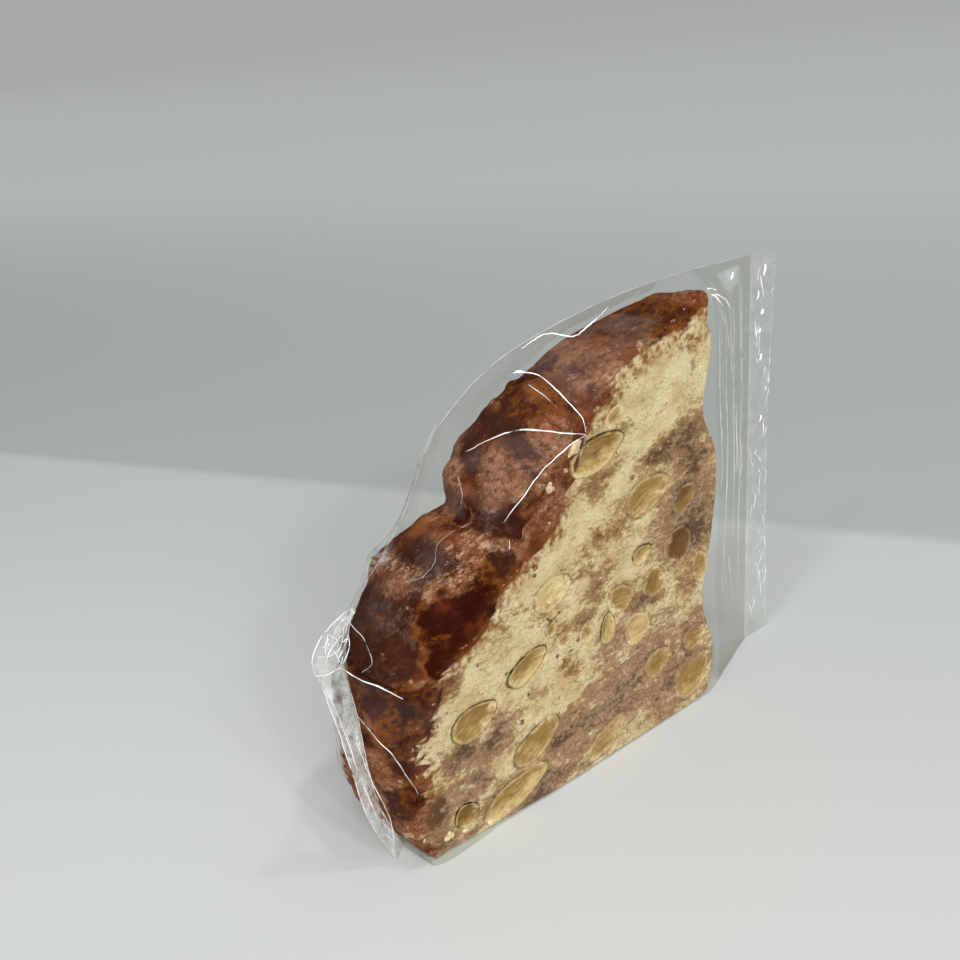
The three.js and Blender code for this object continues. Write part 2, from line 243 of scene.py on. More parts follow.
def noise(points, size, seed=0):
    """Smooth noise from -1 to 1 with blobs about size across; size may differ by axis."""
    cells = np.asarray(points) / size + 17.3 * seed
    low = np.floor(cells).astype(np.int64)
    part = cells - low
    part = part * part * (3 - 2 * part)
    total = np.zeros(cells.shape[:-1])
    for corner in np.ndindex(2, 2, 2):
        i, j, k = axes(low + corner)
        index = (i * 73856093 ^ j * 19349663 ^ k * 83492791) & 4095
        total += RANDOM_TABLE[index] * np.prod(np.where(corner, part, 1 - part), axis=-1)
    return 2 * total - 1


def fractal(points, size, octaves=3, seed=0):
    """Noise with finer and finer detail, about -1 to 1."""
    layers = [noise(points, np.asarray(size) / 2**k, seed + k) / 1.8**k for k in range(octaves)]
    return sum(layers) / sum(1 / 1.8**k for k in range(octaves))


# ---- meshes ----

LEAST_HEIGHT = 0.15  # nothing of the slice is lower, so that the film fits under it
# The solid's right end is the right weld's rim, and the commonest depth of its points is the front film's.
node_points = np.array([vertex.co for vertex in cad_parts["sealed_pack"].data.vertices])
depths, counts = np.unique(np.round(node_points[:, 1], 5), return_counts=True)
SHIFT = np.array([
    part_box("sealed_pack")[1].x * 1000 - RIGHT_WELD_X - WELD_WIDTH,
    depths[counts.argmax()] * 1000,
    0,
])


def put(points):
    """Points of the slice's frame, in mm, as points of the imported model's frame, in metres."""
    return (np.asarray(points, float).reshape(-1, 3) + SHIFT) / 1000


def raised(points, least):
    """The points with none of them lower than least."""
    points[..., 2] = np.maximum(points[..., 2], least)
    return points


def grid_faces(rows, columns, close_columns=False):
    """Quads of a grid of points that is stored row by row."""
    j = np.arange(columns if close_columns else columns - 1)
    here = np.arange(rows - 1)[:, None] * columns + j
    beside = here - j + (j + 1) % columns
    return np.stack([here, beside, beside + columns, here + columns], axis=-1).reshape(-1, 4)


def grid_normals(points):
    """Unit normals of a grid of points, out of the side from which its quads are seen counterclockwise."""
    normals = np.cross(np.gradient(points, axis=1), np.gradient(points, axis=0))
    return normals / np.maximum(np.linalg.norm(normals, axis=-1, keepdims=True), 1e-9)


class Parts:
    """A mesh that is put together from parts: points, faces, and values by point under their names."""

    def __init__(self):
        self.points, self.faces, self.values, self.count = [], [], {}, 0

    def add(self, points, faces, values):
        self.points.append(np.reshape(points, (-1, 3)))
        self.faces += [[int(index) + self.count for index in face] for face in faces]
        self.count += len(self.points[-1])
        for name, by_point in values.items():
            self.values.setdefault(name, []).append(np.ravel(by_point))

    def whole(self):
        values = {name: np.concatenate(shares) for name, shares in self.values.items()}
        return np.concatenate(self.points), self.faces, values


def add_object(name, data):
    """A new object in the scene."""
    made = bpy.data.objects.new(name, data)
    bpy.context.scene.collection.objects.link(made)
    return made


def make_piece(name, built, material):
    """A smooth mesh piece that rides on the pack, from points in mm, faces and values by point."""
    points, faces, values = built
    mesh = bpy.data.meshes.new(name)
    mesh.from_pydata(put(points).tolist(), [], [list(map(int, face)) for face in faces])
    mesh.validate()
    for key, by_point in values.items():
        layer = mesh.attributes.new(key, "FLOAT", "POINT")
        layer.data.foreach_set("value", np.asarray(by_point, np.float32).ravel())
    mesh.shade_smooth()
    mesh.materials.append(material)
    piece = add_object(name, mesh)
    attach(piece, "root")
    return piece


# ---- form of the slice ----

EDGE_STEPS = 370
crust_edge = curve(CRUST_EDGE, EDGE_STEPS)
crown_line = curve(CROWN_LINE, EDGE_STEPS)
outer_rim = curve(BASE_AND_THIN_END, EDGE_STEPS)
edge_chain = curve(CRUST_EDGE, 90)
# The crumb's side of the edge, out to well past the slice, and the cut face itself.
crumb_side = np.vstack([edge_chain, [(200, CRUST_EDGE[-1][1]), (200, -50), (CRUST_EDGE[0][0], -50)]])
cut_face = np.vstack([edge_chain, curve(BASE_AND_THIN_END, 90)[::-1]])


def slice_thickness(x):
    along = np.clip((x + CRUST_REACH) / (CUT_LENGTH + CRUST_REACH), 0, 1)
    return CRUST_THICKNESS + along * (TIP_THICKNESS - CRUST_THICKNESS)


def crust_side(x, z):
    """Distance in mm from the edge between crust and crumb, positive on the crust's side."""
    distance = approach(edge_chain, x, z)[0]
    return np.where(inside(crumb_side, x, z), -distance, distance)


# Almonds in the front cut: middle x, z, length, width, angle in degrees, tone (pale below 0, tan at 1, brown
# at 2), dark skin from 0 to 1 and how hollow from 0 to 1.
FRONT_ALMONDS = [
    (42, 71.5, 15, 7.6, 12, 0.8, 0.9, 1), (55.3, 57.7, 13.5, 8, 14, 0.9, 0.4, 0.1),
    (28.5, 46, 10.5, 7, 15, -2.2, 0.5, 0.1), (53, 44.5, 6, 4.5, 20, 0.45, 0.9, 0.3),
    (64, 42.5, 9, 9, 60, 2.1, 0.1, 0), (46.5, 36.5, 7.5, 7, 0, 0.85, 0.35, 0.1),
    (56.5, 36.5, 7.5, 7, 90, 1.1, 0.3, 0.1), (42.5, 31, 8, 4.5, 85, 0.3, 0.8, 0.3),
    (36.5, 33, 6, 4, 80, 0.8, 0.3, 0.1), (30.5, 34, 4.5, 4, 0, 0.8, 0.1, 0.1),
    (27.5, 38, 4, 3, 60, 0.8, 0.6, 0.2), (20.5, 32.5, 12, 6, 25, 0.5, 0.95, 0.45),
    (6.5, 27, 12, 7.5, 14, 0.9, 0.8, 0.2), (20.5, 14.5, 14.5, 7, 27, 0.75, 0.6, 0.1),
    (14, 5.4, 19, 7, 20, 0.35, 0.6, 0.3), (2, 6.5, 6.5, 6, 0, 1.5, 1, 0.3),
    (39, 5.5, 13, 6, 30, 0.6, 0.2, 0.1), (51, 27, 8, 7.6, 0, 0.1, 0.1, 0),
    (66, 8, 12, 10, 30, 0.8, 0.2, 0.1), (68, 17, 8, 6, 10, 0.6, 0.2, 0.1), (66, 53, 8, 6, 30, 1.5, 0.1, 0),
    (71, 34, 5, 8, 0, 0.7, 0.1, 0), (56, 16, 9, 6, 20, 0.6, 0.1, 0.1), (47, 77.5, 6, 4, 35, 0.6, 0.1, 0.1),
]
ALMOND_TAPER = 0.22  # how much narrower an almond is at its pointed end
ALMOND_ROOM = 0.42  # share of its length that an almond on the back keeps free round its middle


def almond_reach(almond, x, z):
    """Share of the way from the almond's middle to its outline, 1 on the outline."""
    cx, cz, length, width, degrees = almond[:5]
    along, across = turned(x - cx, z - cz, degrees)
    share = np.clip(2 * along / length, -1.4, 1.4)
    return np.hypot(share, 2 * across / width / (1 - ALMOND_TAPER * share))


def scatter_almonds(count, seed):
    """Almonds spread over the back cut by a seeded draw, clear of each other and of the edge."""
    rng = np.random.default_rng(seed)
    places = ((-4, 72), (4, 88), (7, 15), (4.5, 8))
    looks = ((-20, 60), (0.2, 0.9), (0, 0.75), (0, 0.8))
    placed = []
    while len(placed) < count:
        x, z, length, width = (rng.uniform(*span) for span in places)
        room = approach(cut_face, x, z)[0] >= ALMOND_ROOM * length and inside(cut_face, x, z)
        if room and all(math.hypot(x - a[0], z - a[1]) >= ALMOND_ROOM * (length + a[2]) for a in placed):
            placed.append((x, z, length, width, *(rng.uniform(*span) for span in looks)))
    return placed


back_almonds = scatter_almonds(26, 21)

POCKET_DEPTH = 2.8
GROOVE_DEPTH = 0.14
GROOVE_WIDTH = 0.35
PIT_DEPTH = 0.45
CUT_RAGGEDNESS = 0.25  # how uneven the cut is beside the crust


def pocket_depth(almonds, x, z):
    """How far the crumb is sunk under the almonds and in the groove round each."""
    depth = np.zeros(np.shape(x))
    for almond in almonds:
        past_rim = (almond_reach(almond, x, z) - 1) * almond[3] / 2
        groove = GROOVE_DEPTH * almond[6] * np.exp(-(((past_rim - 0.2) / GROOVE_WIDTH) ** 2))
        pocket = POCKET_DEPTH * (1 - smooth_step(past_rim, -0.6, -0.1))
        depth = np.maximum(depth, np.maximum(groove, pocket))
    return depth


def cut_waves(points):
    """Height of the soft waves that crumb and almonds share."""
    return 0.22 * fractal(points, 16, 2, 3) + 0.12 * fractal(points, 4, 3, 5)


def crumb_relief(points, almonds):
    """Height of the crumb's surface over the plain cut: soft waves, crumbs and pits."""
    x, _, z = axes(points)
    pits = smooth_step(fractal(points, 3.2, 3, 11), 0.42, 0.62)
    near_edge = np.exp(-((crust_side(x, z) / 3) ** 2))
    ragged = CUT_RAGGEDNESS * near_edge * fractal(points, 2.2, 3, 8)
    return cut_waves(points) - PIT_DEPTH * pits * (1 - near_edge) + ragged - pocket_depth(almonds, x, z)


FRONT_COLUMNS = 170
BACK_COLUMNS = 70
RIM_COLUMNS = 14
RIM_RADIUS = 0.8
SAG = 2.1  # how far the foot of the front cut is pushed out
FACE_INSET = 0.25  # the cut face lies this far inside the film


def settle(points):
    """Points of the slice with the foot of its front cut pushed out a little, as soft nougat sags."""
    x, y, z = axes(points)
    depth = np.clip(1 - y / slice_thickness(x), 0, 1)
    return xyz(x, y - SAG * smooth_step(x, -9, 28) * depth * smooth_step(z, 30, 0), z)


def cut_grid(edge, rim, columns):
    """Points of a cut face in rows from its edge under the crust to the rim, where it rounds off."""
    share = np.linspace(0, 1, columns + 1)[None, :, None]
    place = edge[:, None] * (1 - share) + rim[:, None] * share
    fall = np.clip(RIM_RADIUS - np.linalg.norm(place - rim[:, None], axis=-1), 0, RIM_RADIUS)
    inset = FACE_INSET + RIM_RADIUS - np.sqrt(RIM_RADIUS**2 - fall**2)
    return xyz(place[..., 0], inset, place[..., 1])


def build_body():
    """The nougat: two cut faces as lens-shaped grids, joined over the flat base and the thin end."""
    hidden_edge = crust_edge + 0.3 * (crown_line - crust_edge)
    share = np.linspace(0, 1, EDGE_STEPS)
    blend = smooth_step(share, 0, 0.04) * (1 - smooth_step(share, 0.975, 1))
    rim = hidden_edge + (outer_rim - hidden_edge) * blend[:, None]
    front = cut_grid(hidden_edge, rim, FRONT_COLUMNS)
    back = cut_grid(hidden_edge, rim, BACK_COLUMNS)
    back[..., 1] = slice_thickness(back[..., 0]) - back[..., 1]
    across = np.linspace(0, 1, RIM_COLUMNS + 2)[1:-1][None, :, None]
    wall = front[:, -1:] * (1 - across) + back[:, -1:] * across
    loop = np.concatenate([front, wall, back[:, ::-1]], axis=1)
    first_of_back = FRONT_COLUMNS + 1 + RIM_COLUMNS
    height = np.concatenate([
        crumb_relief(loop[:, :FRONT_COLUMNS + 1], FRONT_ALMONDS),
        crumb_relief(loop[:, FRONT_COLUMNS + 1:first_of_back], []),
        crumb_relief(loop[:, first_of_back:], back_almonds),
    ], axis=1)
    points = settle(raised(loop + grid_normals(loop) * height[..., None], LEAST_HEIGHT))
    columns = loop.shape[1]
    ends = np.arange(columns)[::-1], np.arange(columns) + (EDGE_STEPS - 1) * columns
    faces = [*grid_faces(EDGE_STEPS, columns, close_columns=True), *ends]
    points = points.reshape(-1, 3)
    return points, faces, slice_values(points, height.ravel())


LIP_COLUMNS = 10
LIP_WIDTH = 4
LIP_SINK = 0.45  # how deep the lip's hidden edge lies under the crumb
ARC_COLUMNS = 136
END_ROWS = 6
END_CROWN = 1.2  # how far the crust's closed end is domed
TOP_FULLNESS = 4  # exponent of the crust section at the top right corner, where it is boxier
TOP_LEAN = 0.2  # how much the crust falls there to the back, for each millimetre
BUMPS = 80


def crust_section(arc, edge, crown):
    """Points of the crust's rounded section for arc from 0, the front edge, to 1, the back edge."""
    angle = np.pi * arc
    at_top = smooth_step(crown[..., 0], 52, 72)
    power = 2 / (CRUST_FULLNESS + (TOP_FULLNESS - CRUST_FULLNESS) * at_top)
    out = np.sin(angle) ** power
    turn = np.sign(np.cos(angle)) * np.abs(np.cos(angle)) ** power
    place = edge + out[..., None] * (crown - edge)
    middle = slice_thickness(place[..., 0]) / 2
    inset = FACE_INSET + (middle - FACE_INSET) * (1 - turn)
    return xyz(place[..., 0], inset, place[..., 1] - TOP_LEAN * at_top * out * (inset - middle))


def crust_lips(edge, crown):
    """Grids of the crust's two thin lips, which lie over the crumb of the front and of the back cut."""
    inward = (edge - crown) / np.linalg.norm(edge - crown, axis=-1, keepdims=True)
    step = np.linspace(LIP_WIDTH, 0, LIP_COLUMNS + 1)[None, :-1]
    x, z = np.moveaxis(edge + inward * step[..., None], -1, 0)
    sink = FACE_INSET + LIP_SINK * step / LIP_WIDTH
    front = xyz(x, sink + pocket_depth(FRONT_ALMONDS, x, z), z)
    back = xyz(x, slice_thickness(x) - sink - pocket_depth(back_almonds, x, z), z)
    return front, back[:, ::-1]


def crust_height(loop):
    """Height of the crust's lumps over its smooth form, and of the valleys between its swellings."""
    x, _, z = axes(loop)
    rough = smooth_step(crust_side(x, z), -1, 5)
    height = 0.2 * fractal(loop, 2.2, 3, 8) + 0.7 * rough * fractal(loop, 9, 3, 14)
    height += rough * (0.36 * fractal(loop, 2.6, 4, 15) - 0.3 * np.abs(fractal(loop, 1.4, 2, 19)))
    for width, depth, line in VALLEYS:
        distance = approach(curve(line, 12), x, z)[0]
        height -= np.maximum(rough, 0.4) * depth * np.exp(-((distance / width) ** 2))
    rng = np.random.default_rng(31)
    rows = (rng.uniform(0, 1, BUMPS) * (EDGE_STEPS - 1)).astype(int)
    columns = LIP_COLUMNS + (rng.uniform(0.1, 0.9, BUMPS) * ARC_COLUMNS).astype(int)
    radii, lifts = rng.uniform(2.5, 6, BUMPS), rng.uniform(0.25, 1, BUMPS)
    for middle, radius, lift in zip(loop[rows, columns], radii, lifts):
        distance = np.linalg.norm(loop - middle, axis=-1)
        height += rough * lift * smooth_step(distance, radius, 0.2 * radius)
    return height - 0.45 * rough


def build_crust():
    """The crust: a rounded skin from a thin lip on the front cut over the crown to the back cut."""
    edge, crown = crust_edge[:, None], crown_line[:, None]
    front_lip, back_lip = crust_lips(edge, crown)
    arc = np.linspace(0, 1, ARC_COLUMNS + 1)[None]
    loop = np.concatenate([front_lip, crust_section(arc, edge, crown), back_lip], axis=1)
    height = crust_height(loop)
    points = raised(settle(loop - grid_normals(loop) * height[..., None]), LEAST_HEIGHT)
    end, middle = points[-1], points[-1].mean(axis=0)
    angle = (np.arange(1, END_ROWS + 1) * np.pi / 2 / END_ROWS)[:, None, None]
    rings = middle + (end - middle) * np.cos(angle) + END_CROWN * np.sin(angle) * [1, 0, 0]
    points = np.concatenate([points, rings])
    height = np.concatenate([height, np.repeat(height[-1:], END_ROWS, axis=0)])
    rows, columns = height.shape
    faces = [*grid_faces(rows, columns, close_columns=True)[:, ::-1], np.arange(columns)]
    points = points.reshape(-1, 3)
    return points, faces, slice_values(points, height.ravel())


# ---- materials ----


def colour(red, green, blue):
    """A colour given in display values from 0 to 255, as the linear values that shaders take."""
    def linear(value):
        share = value / 255
        return share / 12.92 if share <= 0.04045 else ((share + 0.055) / 1.055) ** 2.4
    return (linear(red), linear(green), linear(blue), 1)


WHITE = (1, 1, 1, 1)


class Signal:
    """What a node of a material gives out: a number, a colour or a surface, at each place."""

    def __init__(self, material, socket):
        self.material, self.socket = material, socket

    def __add__(self, other):
        return self.material.math("ADD", self, other)

    def __sub__(self, other):
        return self.material.math("SUBTRACT", self, other)

    def __rsub__(self, other):
        return self.material.math("SUBTRACT", other, self)

    def __mul__(self, other):
        return self.material.math("MULTIPLY", self, other)

    def step(self, low, high):
        """The number as smooth_step() has it."""
        inputs = {"Value": self, "From Min": low, "From Max": high}
        return self.material.add("ShaderNodeMapRange", inputs, interpolation_type="SMOOTHSTEP")

    def under(self, share, tint, blend="MIX"):
        """The colour with a share of another one over it."""
        return self.material.mix(share, self, tint, blend)


class Material:
    """A material's nodes, with one short method for each kind that is used."""

    def __init__(self, name):
        self.made = bpy.data.materials.new(name)
        self.made.use_nodes = True
        self.tree = self.made.node_tree
        self.tree.nodes.clear()
        metres = self.add("ShaderNodeTexCoord", {}, "Object")
        self.place = self.add("ShaderNodeMapping", {"Vector": metres, "Scale": (1000, 1000, 1000)})

    def add(self, kind, inputs, output=0, **settings):
        node = self.tree.nodes.new(kind)
        for key, value in settings.items():
            setattr(node, key, value)
        for key, value in inputs.items():
            if isinstance(value, Signal):
                self.tree.links.new(value.socket, node.inputs[key])
            else:
                node.inputs[key].default_value = value
        return Signal(self, node.outputs[output])

    def value(self, name):
        """One of the piece's values by point."""
        return self.add("ShaderNodeAttribute", {}, "Fac", attribute_name=name)

    def noise(self, size, detail=3, roughness=0.55, stretch=None, turn=0, swirl=0.0, place=None):
        """Noise around 0.5 with blobs about size mm across, stretched along X turned by turn degrees."""
        place = place or self.place
        if stretch:
            inputs = {"Vector": place, "Rotation": (0, math.radians(turn), 0), "Scale": (1 / stretch, 1, 1)}
            place = self.add("ShaderNodeMapping", inputs)
        inputs = {
            "Vector": place, "Scale": 1 / size, "Detail": detail, "Roughness": roughness, "Distortion": swirl,
        }
        return self.add("ShaderNodeTexNoise", inputs, "Fac")

    def cracks(self, size, width):
        """1 on crooked lines between cells about size mm across, falling to 0 at width mm from them."""
        bend = self.add("ShaderNodeTexNoise", {"Vector": self.place, "Scale": 2 / size, "Detail": 4}, "Color")
        inputs = {0: bend, 1: (size, size, size), 2: self.place}
        bent = self.add("ShaderNodeVectorMath", inputs, operation="MULTIPLY_ADD")
        inputs = {"Vector": bent, "Scale": 1 / size}
        edge = self.add("ShaderNodeTexVoronoi", inputs, "Distance", feature="DISTANCE_TO_EDGE")
        return edge.step(width / size, 0)

    def veins(self, size, width, **settings):
        """1 on thin winding lines, where noise of the given size crosses its middle value."""
        return self.math("ABSOLUTE", self.noise(size, **settings) - 0.5).step(width, 0)

    def math(self, operation, a, b=0.0):
        return self.add("ShaderNodeMath", {0: a, 1: b}, operation=operation)

    def mix(self, share, a, b, blend="MIX"):
        return self.add("ShaderNodeMix", {0: share, 6: a, 7: b}, 2, data_type="RGBA", blend_type=blend)

    def bump(self, height, strength, distance=0.0004):
        return self.add("ShaderNodeBump", {"Height": height, "Strength": strength, "Distance": distance})

    def surface(self, base, roughness, specular=0.5, **more):
        """A principled surface; more are further inputs, with _ for the spaces in their names."""
        inputs = {"Base Color": base, "Roughness": roughness, "Specular IOR Level": specular}
        inputs.update({key.replace("_", " "): value for key, value in more.items()})
        return self.add("ShaderNodeBsdfPrincipled", inputs)

    def blend(self, share, surface, other):
        return self.add("ShaderNodeMixShader", {0: share, 1: surface, 2: other})

    def finish(self, surface):
        output = self.tree.nodes.new("ShaderNodeOutputMaterial")
        self.tree.links.new(surface.socket, output.inputs["Surface"])
        return self.made


CREAM_LIGHT = colour(240, 224, 182)
CREAM_DARK = colour(219, 191, 139)
COCOA_PALE = colour(184, 147, 94)
COCOA_LIGHT = colour(146, 107, 66)
COCOA_DARK = colour(90, 58, 36)
MAUVE_LIGHT = colour(182, 147, 122)
MAUVE_DARK = colour(88, 58, 44)
DARK_DOT = colour(48, 32, 22)
MARK = colour(74, 58, 46)
CRUST_MID = colour(141, 85, 53)
CRUST_RED = colour(99, 46, 17)
CRUST_DEEP = colour(58, 26, 19)
CRUST_DUST = colour(176, 127, 97)
# Pale flecks of the crust, also used for painted sparkle.
CRUST_FLECK_AND_SPARKLE = colour(220, 182, 148)
WET_DARK = colour(52, 9, 2)
WET_RED = colour(106, 38, 10)
GOLD_BROWN = colour(140, 78, 26)
RUST = colour(142, 82, 34)
ALMOND_PALE = colour(206, 180, 126)
ALMOND_TAN = colour(152, 118, 62)
ALMOND_DEEP = colour(98, 66, 26)
ALMOND_RIM = colour(212, 190, 138)
ALMOND_GROOVE = colour(100, 74, 38)
ALMOND_SKIN = colour(40, 26, 16)
INK_DARK = colour(44, 36, 34)
INK_LIGHT = colour(66, 56, 52)
# What the crumb's fibres, its grains and the almonds' grain let through of the light.
FIBRE_SHADE = (0.72, 0.6, 0.44, 1)
GRAIN_SHADE = (0.7, 0.62, 0.52, 1)
ALMOND_GRAIN = (0.7, 0.62, 0.48, 1)
SOFT = {"Subsurface_Weight": 0.06, "Subsurface_Scale": 0.0015}


def fine_streaks(mat):
    """The fine streaks of the crumb, in its colour and its relief."""
    return mat.noise(0.95, 5, 0.68, stretch=1.35, turn=-38, swirl=0.9)


def marbling(mat, grain, fine):
    """Cream and cocoa: the more cocoa, the more and the darker the brown, in smeared streaks."""
    smear = mat.noise(3.0, 6, 0.67, stretch=2.0, turn=-40, swirl=1.1)
    stained = mat.value("cocoa")
    cocoa = stained * 1.15 + (smear - 0.5) * (stained * 1.3 + 1.3) + (fine - 0.5) * (stained * 1.5 + 1.2)
    cream = mat.mix(mat.noise(7, 4).step(0.4, 0.7), CREAM_LIGHT, CREAM_DARK)
    cream = cream.under(grain.step(0.48, 0.66) * 0.55, CREAM_DARK)
    brown = mat.mix(cocoa.step(0.4, 0.9), COCOA_PALE, COCOA_LIGHT).under(cocoa.step(0.9, 1.5), COCOA_DARK)
    mauve = mat.mix(cocoa.step(0.55, 1.6), MAUVE_LIGHT, MAUVE_DARK)
    return cream.under(cocoa.step(0.16, 0.66) * 0.94, brown.under(mat.value("mauve"), mauve))


def crumb_colour(mat, fine):
    """The marbled crumb with its wisps, fibres, grains, cracks, pale bits, dark dots, painted shade in its
    hollows, and marks.
    """
    grain = mat.noise(0.45, 4, 0.7)
    crumb = marbling(mat, grain, fine)
    wisps = mat.veins(3.2, 0.02, detail=5, roughness=0.62, stretch=2, turn=-38, swirl=0.6)
    crumb = crumb.under(wisps * mat.noise(5, 3).step(0.45, 0.62) * 0.4, COCOA_LIGHT)
    fibres = mat.noise(0.9, 4, 0.66, stretch=2.6, turn=-10, swirl=0.5).step(0.5, 0.66)
    fibres = fibres * mat.noise(6, 3, 0.5).step(0.4, 0.58) * 0.6
    crumb = crumb.under(fibres, FIBRE_SHADE, "MULTIPLY")
    crumb = crumb.under(grain.step(0.52, 0.7) * 0.45, GRAIN_SHADE, "MULTIPLY")
    crumb = crumb.under(mat.cracks(6, 0.12) * mat.noise(4, 3).step(0.54, 0.64) * 0.75, COCOA_DARK)
    crumb = crumb.under(mat.cracks(2.6, 0.07) * mat.noise(6, 3).step(0.52, 0.62) * 0.6, COCOA_DARK)
    pale_bits = mat.noise(1.2, 4, 0.66, stretch=1.3, turn=-38, swirl=0.6).step(0.58, 0.68)
    crumb = crumb.under(pale_bits * (0.55 - mat.value("mauve") * 0.4), CREAM_LIGHT)
    crumb = crumb.under(mat.noise(1.0, 2, 0.5).step(0.735, 0.77) * 0.85, DARK_DOT)
    # Painted shade: darker where the relief sinks, in pits and round the almonds.
    crumb = crumb.under(mat.value("relief").step(-0.2, -0.55) * 0.55, COCOA_DARK)
    mark = mat.value("mark") + (mat.noise(0.8, 4, 0.6) - 0.5) * 2.2
    return crumb.under(mark.step(0.6, 0.9) * 0.85, MARK)


def crust_noise(mat, size, detail, roughness, stretch):
    """Noise drawn out along the way the cocoa was brushed on."""
    return mat.noise(size, detail, roughness, stretch=stretch, turn=-60)


def crust_colour(mat, wet):
    """Red-brown cocoa, dusty and with painted light on its lumps, deep brown in places and as painted shade
    in its valleys, rusty round the wet dark patches.
    """
    speck = crust_noise(mat, 1.0, 5, 0.7, 1.7)
    specks = speck.step(0.36, 0.6)
    crust = mat.mix(mat.noise(3.6, 5, 0.66, swirl=0.5).step(0.38, 0.62), CRUST_RED, CRUST_MID)
    # The relief adds dust to the lumps' tops as painted light, on top of the crust's own dust.
    relief = mat.value("relief") * 0.7
    cover = mat.value("dusty") + (mat.noise(5, 5, 0.62, swirl=0.4) - 0.5) * 1.8 + relief
    crust = crust.under(cover.step(0.25, 0.8) * specks * 0.85, CRUST_DUST)
    flecked = mat.value("fleck") * 0.13
    # Pale flecks; the finer ones are partly painted sparkle that stands in for tiny highlights.
    flecks = (crust_noise(mat, 1.5, 6, 0.74, 2.2) + flecked).step(0.62, 0.7)
    sparkle_flecks = (crust_noise(mat, 0.7, 4, 0.7, 2) + flecked).step(0.68, 0.74)
    crust = crust.under(mat.math("MAXIMUM", flecks, sparkle_flecks) * 0.75, CRUST_FLECK_AND_SPARKLE)
    dark_grain = crust_noise(mat, 0.7, 5, 0.74, 1.6).step(0.48, 0.36)
    for share in (dark_grain * 0.5, speck.step(0.46, 0.3) * 0.7, mat.cracks(7, 0.5) * 0.5):
        crust = crust.under(share, CRUST_RED)
    # The relief deepens the brown in the valleys as painted shade.
    shade = mat.value("deep") + (mat.noise(4, 5, 0.64) - 0.5) * 1.6 - relief
    crust = crust.under(shade.step(0.3, 0.8) * 0.85, CRUST_DEEP)
    crust = crust.under(wet.step(0.05, 0.4) * specks * 0.8, GOLD_BROWN)
    soaked = mat.mix(mat.noise(4.5, 3, 0.6).step(0.48, 0.7), WET_DARK, WET_RED)
    soaked = soaked.under(crust_noise(mat, 2.6, 5, 0.62, 2).step(0.57, 0.7) * 0.75, GOLD_BROWN)
    return crust.under(wet.step(0.36, 0.7) * 0.96, soaked)


def slice_material(name):
    """The slice everywhere: crumb and crust, with a ragged edge between them that rust-brown dust blurs."""
    mat = Material(name)
    fine = fine_streaks(mat)
    wet = mat.value("wet") + (mat.noise(3.6, 6, 0.7, swirl=0.6) - 0.5) * 1.5
    torn = (mat.noise(2.8, 4, 0.58, stretch=3, turn=-20, swirl=0.5) - 0.5) * 24 * mat.value("torn")
    ragged = mat.value("crust_side") + (mat.noise(8, 4, 0.5) - 0.5) * 7 + torn
    dust_spots = mat.noise(1.6, 5, 0.62).step(0.38, 0.62)
    rusty = mat.value("rusty")
    on_crumb = (ragged + rusty * 4).step(-3.2, 0.6) * dust_spots * 0.9
    on_crust = ragged.step(3.6, 0.4) * rusty * dust_spots * 0.85
    crumb = crumb_colour(mat, fine).under(on_crumb, RUST)
    crust = crust_colour(mat, wet).under(on_crust, RUST)
    whole = crumb.under(ragged.step(-0.5, 0.5), crust)
    relief = mat.bump(fine * 1.2 + mat.noise(0.5, 5, 0.7), 1.0, 0.0006)
    roughness = 0.75 - wet.step(0.4, 0.7) * 0.35
    return mat.finish(mat.surface(whole, roughness, 0.03, Normal=relief, **SOFT))


def almond_material():
    """Cut almond: tan flesh, paler at the rim partly as painted light, a browner groove that is darker in
    hollow ones as painted shade, thin dark skin, crumb smeared over it.
    """
    mat = Material("almond")
    own_place = mat.add("ShaderNodeCombineXYZ", {0: mat.value("along"), 1: mat.value("across")})
    lengthwise = mat.noise(2 / 3, 5, 0.68, swirl=0.3, place=own_place)
    mottle = mat.noise(2.2, 6, 0.68, stretch=1.8, turn=-30)
    tone = mat.value("tone") + ((mottle - 0.5) * 1.6 + (lengthwise - 0.5) * 1.7)
    flesh = mat.mix(tone.step(-0.1, 1.0), ALMOND_PALE, ALMOND_TAN).under(tone.step(1.0, 2.2), ALMOND_DEEP)
    flesh = flesh.under(lengthwise.step(0.5, 0.64) * 0.42, ALMOND_GRAIN, "MULTIPLY")
    to_rim, skin = mat.value("to_rim"), mat.value("skin")
    # Paler rim band, partly painted light.
    flesh = flesh.under(to_rim.step(1.1, 0.4) * mat.noise(2, 3).step(0.36, 0.58) * 0.7, ALMOND_RIM)
    flesh = flesh.under(mat.value("groove") * 0.75, ALMOND_GROOVE)
    flesh = flesh.under(mat.noise(1.1, 2, 0.5).step(0.72, 0.76) * 0.8, ALMOND_GROOVE)
    ragged_rim = to_rim + (mat.noise(1.6, 5, 0.62) - 0.5) * 3.2
    crumby_rim = ragged_rim.step(1.7, -0.4) * skin.step(0.6, 0.15)
    smear = mat.value("smeared") * ((mat.noise(2, 5, 0.66) - 0.5) * 3 + 0.9)
    crumby = mat.math("MAXIMUM", smear.step(0.25, 0.9) * 0.9, crumby_rim)
    flesh = flesh.under(crumby, crumb_colour(mat, fine_streaks(mat)))
    whole = flesh.under(to_rim.step(0.34, 0.22) * skin, ALMOND_SKIN)
    return mat.finish(mat.surface(whole, 0.6, 0.1, Normal=mat.bump(lengthwise, 0.9, 0.0006), **SOFT))


FILM_REFLECTION = 0.0011  # share of light a sheet of film throws back where it is seen straight on
CLEAR_TINT = (0.962, 0.964, 0.945, 1)  # what one sheet lets through of the light
# Painted shade: the next tint darkens what shows through where only film is behind the front sheet, and at
# its foot.
SHADE_TINT = (0.84, 0.845, 0.8, 1)  # the same where it is seen against nothing but the far sheet's shade
MILK_TINT = (0.86, 0.88, 0.87, 1)


